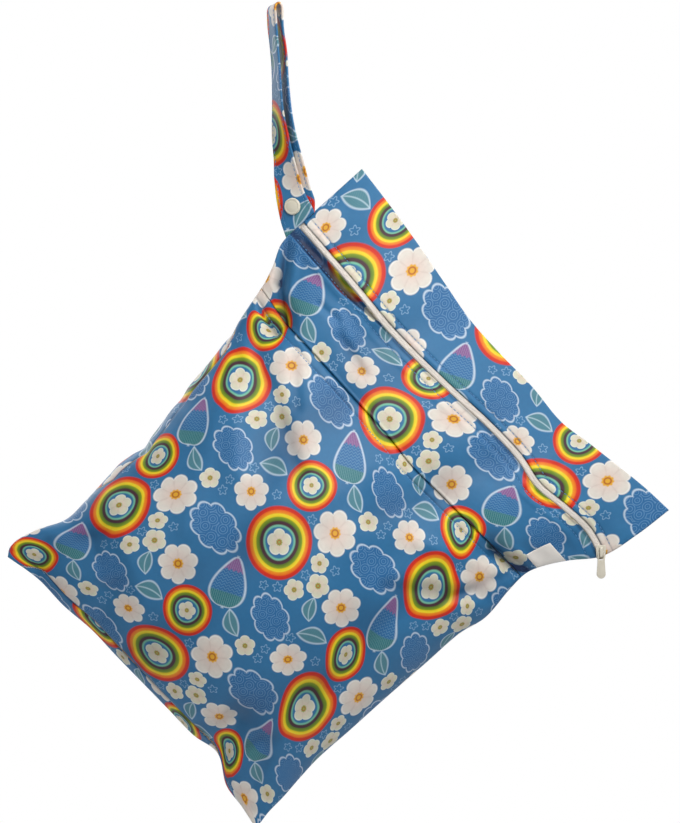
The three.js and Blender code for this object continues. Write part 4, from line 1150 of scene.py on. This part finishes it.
# %% Seam tab
LABEL_DOWN, LABEL_HEIGHT, LABEL_REACH, LABEL_NARROWING = 82.5, 17.6, 16.6, 4.0
edge = BAG_WIDTH * (1 - read_column(SECTIONS, "down", "right", np.array(LABEL_DOWN / BAG_HEIGHT)))
tab_t, tab_q = np.linspace(0, 1, 31)[None, :], np.linspace(0, 1, 33)[:, None]
reach = LABEL_REACH - LABEL_NARROWING * tab_q
tab_across = 1 - (reach / edge) * (1 - tab_t) - (GAP / edge) * 2
tab_v = LABEL_DOWN - LABEL_HEIGHT / 2 + LABEL_HEIGHT * tab_q
curl = 0.9 * (1 - tab_t) ** 2 * (0.6 + 0.4 * np.sin(tab_q * 3)) + 0.15 * np.sin(tab_q * 9)
border = np.minimum(np.minimum(tab_t, 1 - tab_t) * LABEL_REACH, np.minimum(tab_q, 1 - tab_q) * LABEL_HEIGHT)
thin = 0.38 * np.clip(1 - border / 0.5, 0, 1) ** 2
stitch_dip = 0.12 * bell(border - 1.3, 0.25)
tab_lifts = (0.6 + curl + 0.8 - thin - stitch_dip, 0.6 + curl + thin)
shift = tilted(np.array([GAP, 0, 0])) * MM
tab_sides = [bag_place(1, tab_across, tab_v, lift) + shift for lift in tab_lifts]
tab = slab("seam_tab", *tab_sides, np.stack(np.broadcast_arrays(tab_t * 0.015, tab_q * 0.016), axis=-1))
tab.data.materials.append(tab_satin)
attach(tab, "bag")
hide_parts("side_label")

# %% [markdown]
# Topstitching is what makes cloth look sewn. Each stitch is a short thread that dives into the
# cloth at both ends: a tiny closed tube of a few dozen faces, repeated along a line on the cloth.

# %% Topstitching
def stitches(name, start, end, out, thick=0.26):
    """Tubes from each start to each end, bowed outwards, as one mesh."""
    steps, sides = 5, 6
    t = np.linspace(0, 1, steps)
    way = end - start
    long = np.linalg.norm(way, axis=1, keepdims=True)
    side = np.cross(way / long, out)
    bow, size = 0.28 * np.sin(t * math.pi) - 0.12, thick * np.array([0.35, 0.9, 1, 0.9, 0.35])
    angle = np.arange(sides) / sides * math.tau
    spine = start[:, None] + way[:, None] * t[None, :, None] + out[:, None] * bow[None, :, None]
    turning = angle[None, None, :, None]
    ring = np.cos(turning) * out[:, None, None] + np.sin(turning) * side[:, None, None]
    points = spine[:, :, None] + ring * size[None, :, None, None]
    near, far = [[0, 1, 2, 3], [0, 3, 4, 5]], np.array([[3, 2, 1, 0], [5, 4, 3, 0]]) + (steps - 1) * sides
    one = np.concatenate([quads(steps, sides, wrap=True), near, far])
    faces = one[None] + (np.arange(len(start)) * steps * sides)[:, None, None]
    obj = make_mesh(name, points * MM, faces.reshape(-1, 4))
    obj.data.materials.append(blue_thread)
    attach(obj, "bag")


STITCH_PITCH, STITCH_SHARE = 3.0, 0.74


def along_cloth(line, low, high, offset):
    """Starts, ends and outward directions of stitches that follow a cross line on the front."""
    count = int(BAG_WIDTH * (high - low) / STITCH_PITCH)
    first = low + (high - low) * np.arange(count) / count
    last = first + (high - low) / count * STITCH_SHARE
    ends = [bag_place(1, at, cross_line(line, at) + offset) / MM for at in (first, last)]
    middle = (first + last) / 2
    v = cross_line(line, middle) + offset
    right = bag_place(1, middle + 0.002, v) - bag_place(1, middle - 0.002, v)
    lower = bag_place(1, middle, v + 0.5) - bag_place(1, middle, v - 0.5)
    out = np.cross(right, lower)
    out *= -np.sign((out * [0, 1, 0]).sum(axis=1))[:, None]
    return ends[0], ends[1], out / np.linalg.norm(out, axis=1, keepdims=True)


stitches("stitches_above_zip", *along_cloth("zip", 0.02, 0.985, -SEWN_ABOVE))
stitches("stitches_below_zip", *along_cloth("zip", 0.02, 0.985, SEWN_BELOW))
stitches("stitches_pocket", *along_cloth("pocket", 0.05, 0.93, HEM_DOWN))

# %% Stitches on the strap
def read_path(array, at):
    """Each column of an array along the strap, read at these lengths."""
    return np.stack([np.interp(at, length, column) for column in array.T], axis=1)


def along_strap(edge_at, low, high, side):
    """Stitches along one edge of the strap, on the outer side of its cloth."""
    count = int((high - low) / STITCH_PITCH)
    ends, outs = [], []
    for offset in (0.0, STITCH_SHARE):
        at = low + (high - low) * (np.arange(count) + offset) / count
        out = read_path(normal, at) * side
        out /= np.linalg.norm(out, axis=1, keepdims=True)
        ends.append(read_path(middle, at) + read_path(half, at) * edge_at + out * STRAP_THICK * 0.37)
        outs.append(out)
    return ends[0], ends[1], outs[0]


outer = 1 if normal[10, 1] > 0 else -1
STRAP_SEAM, SEAM_ENDS = 0.78, 6
STRAP_ROWS = [(-STRAP_SEAM, outer), (STRAP_SEAM, outer), (-STRAP_SEAM, -outer), (STRAP_SEAM, -outer)]
for number, (edge_at, side) in enumerate(STRAP_ROWS):
    row = along_strap(edge_at, SEAM_ENDS, length[-1] - SEAM_ENDS, side)
    stitches(f"stitches_strap_{number}", *row, thick=0.2)
print("strap seams", len(STRAP_ROWS))
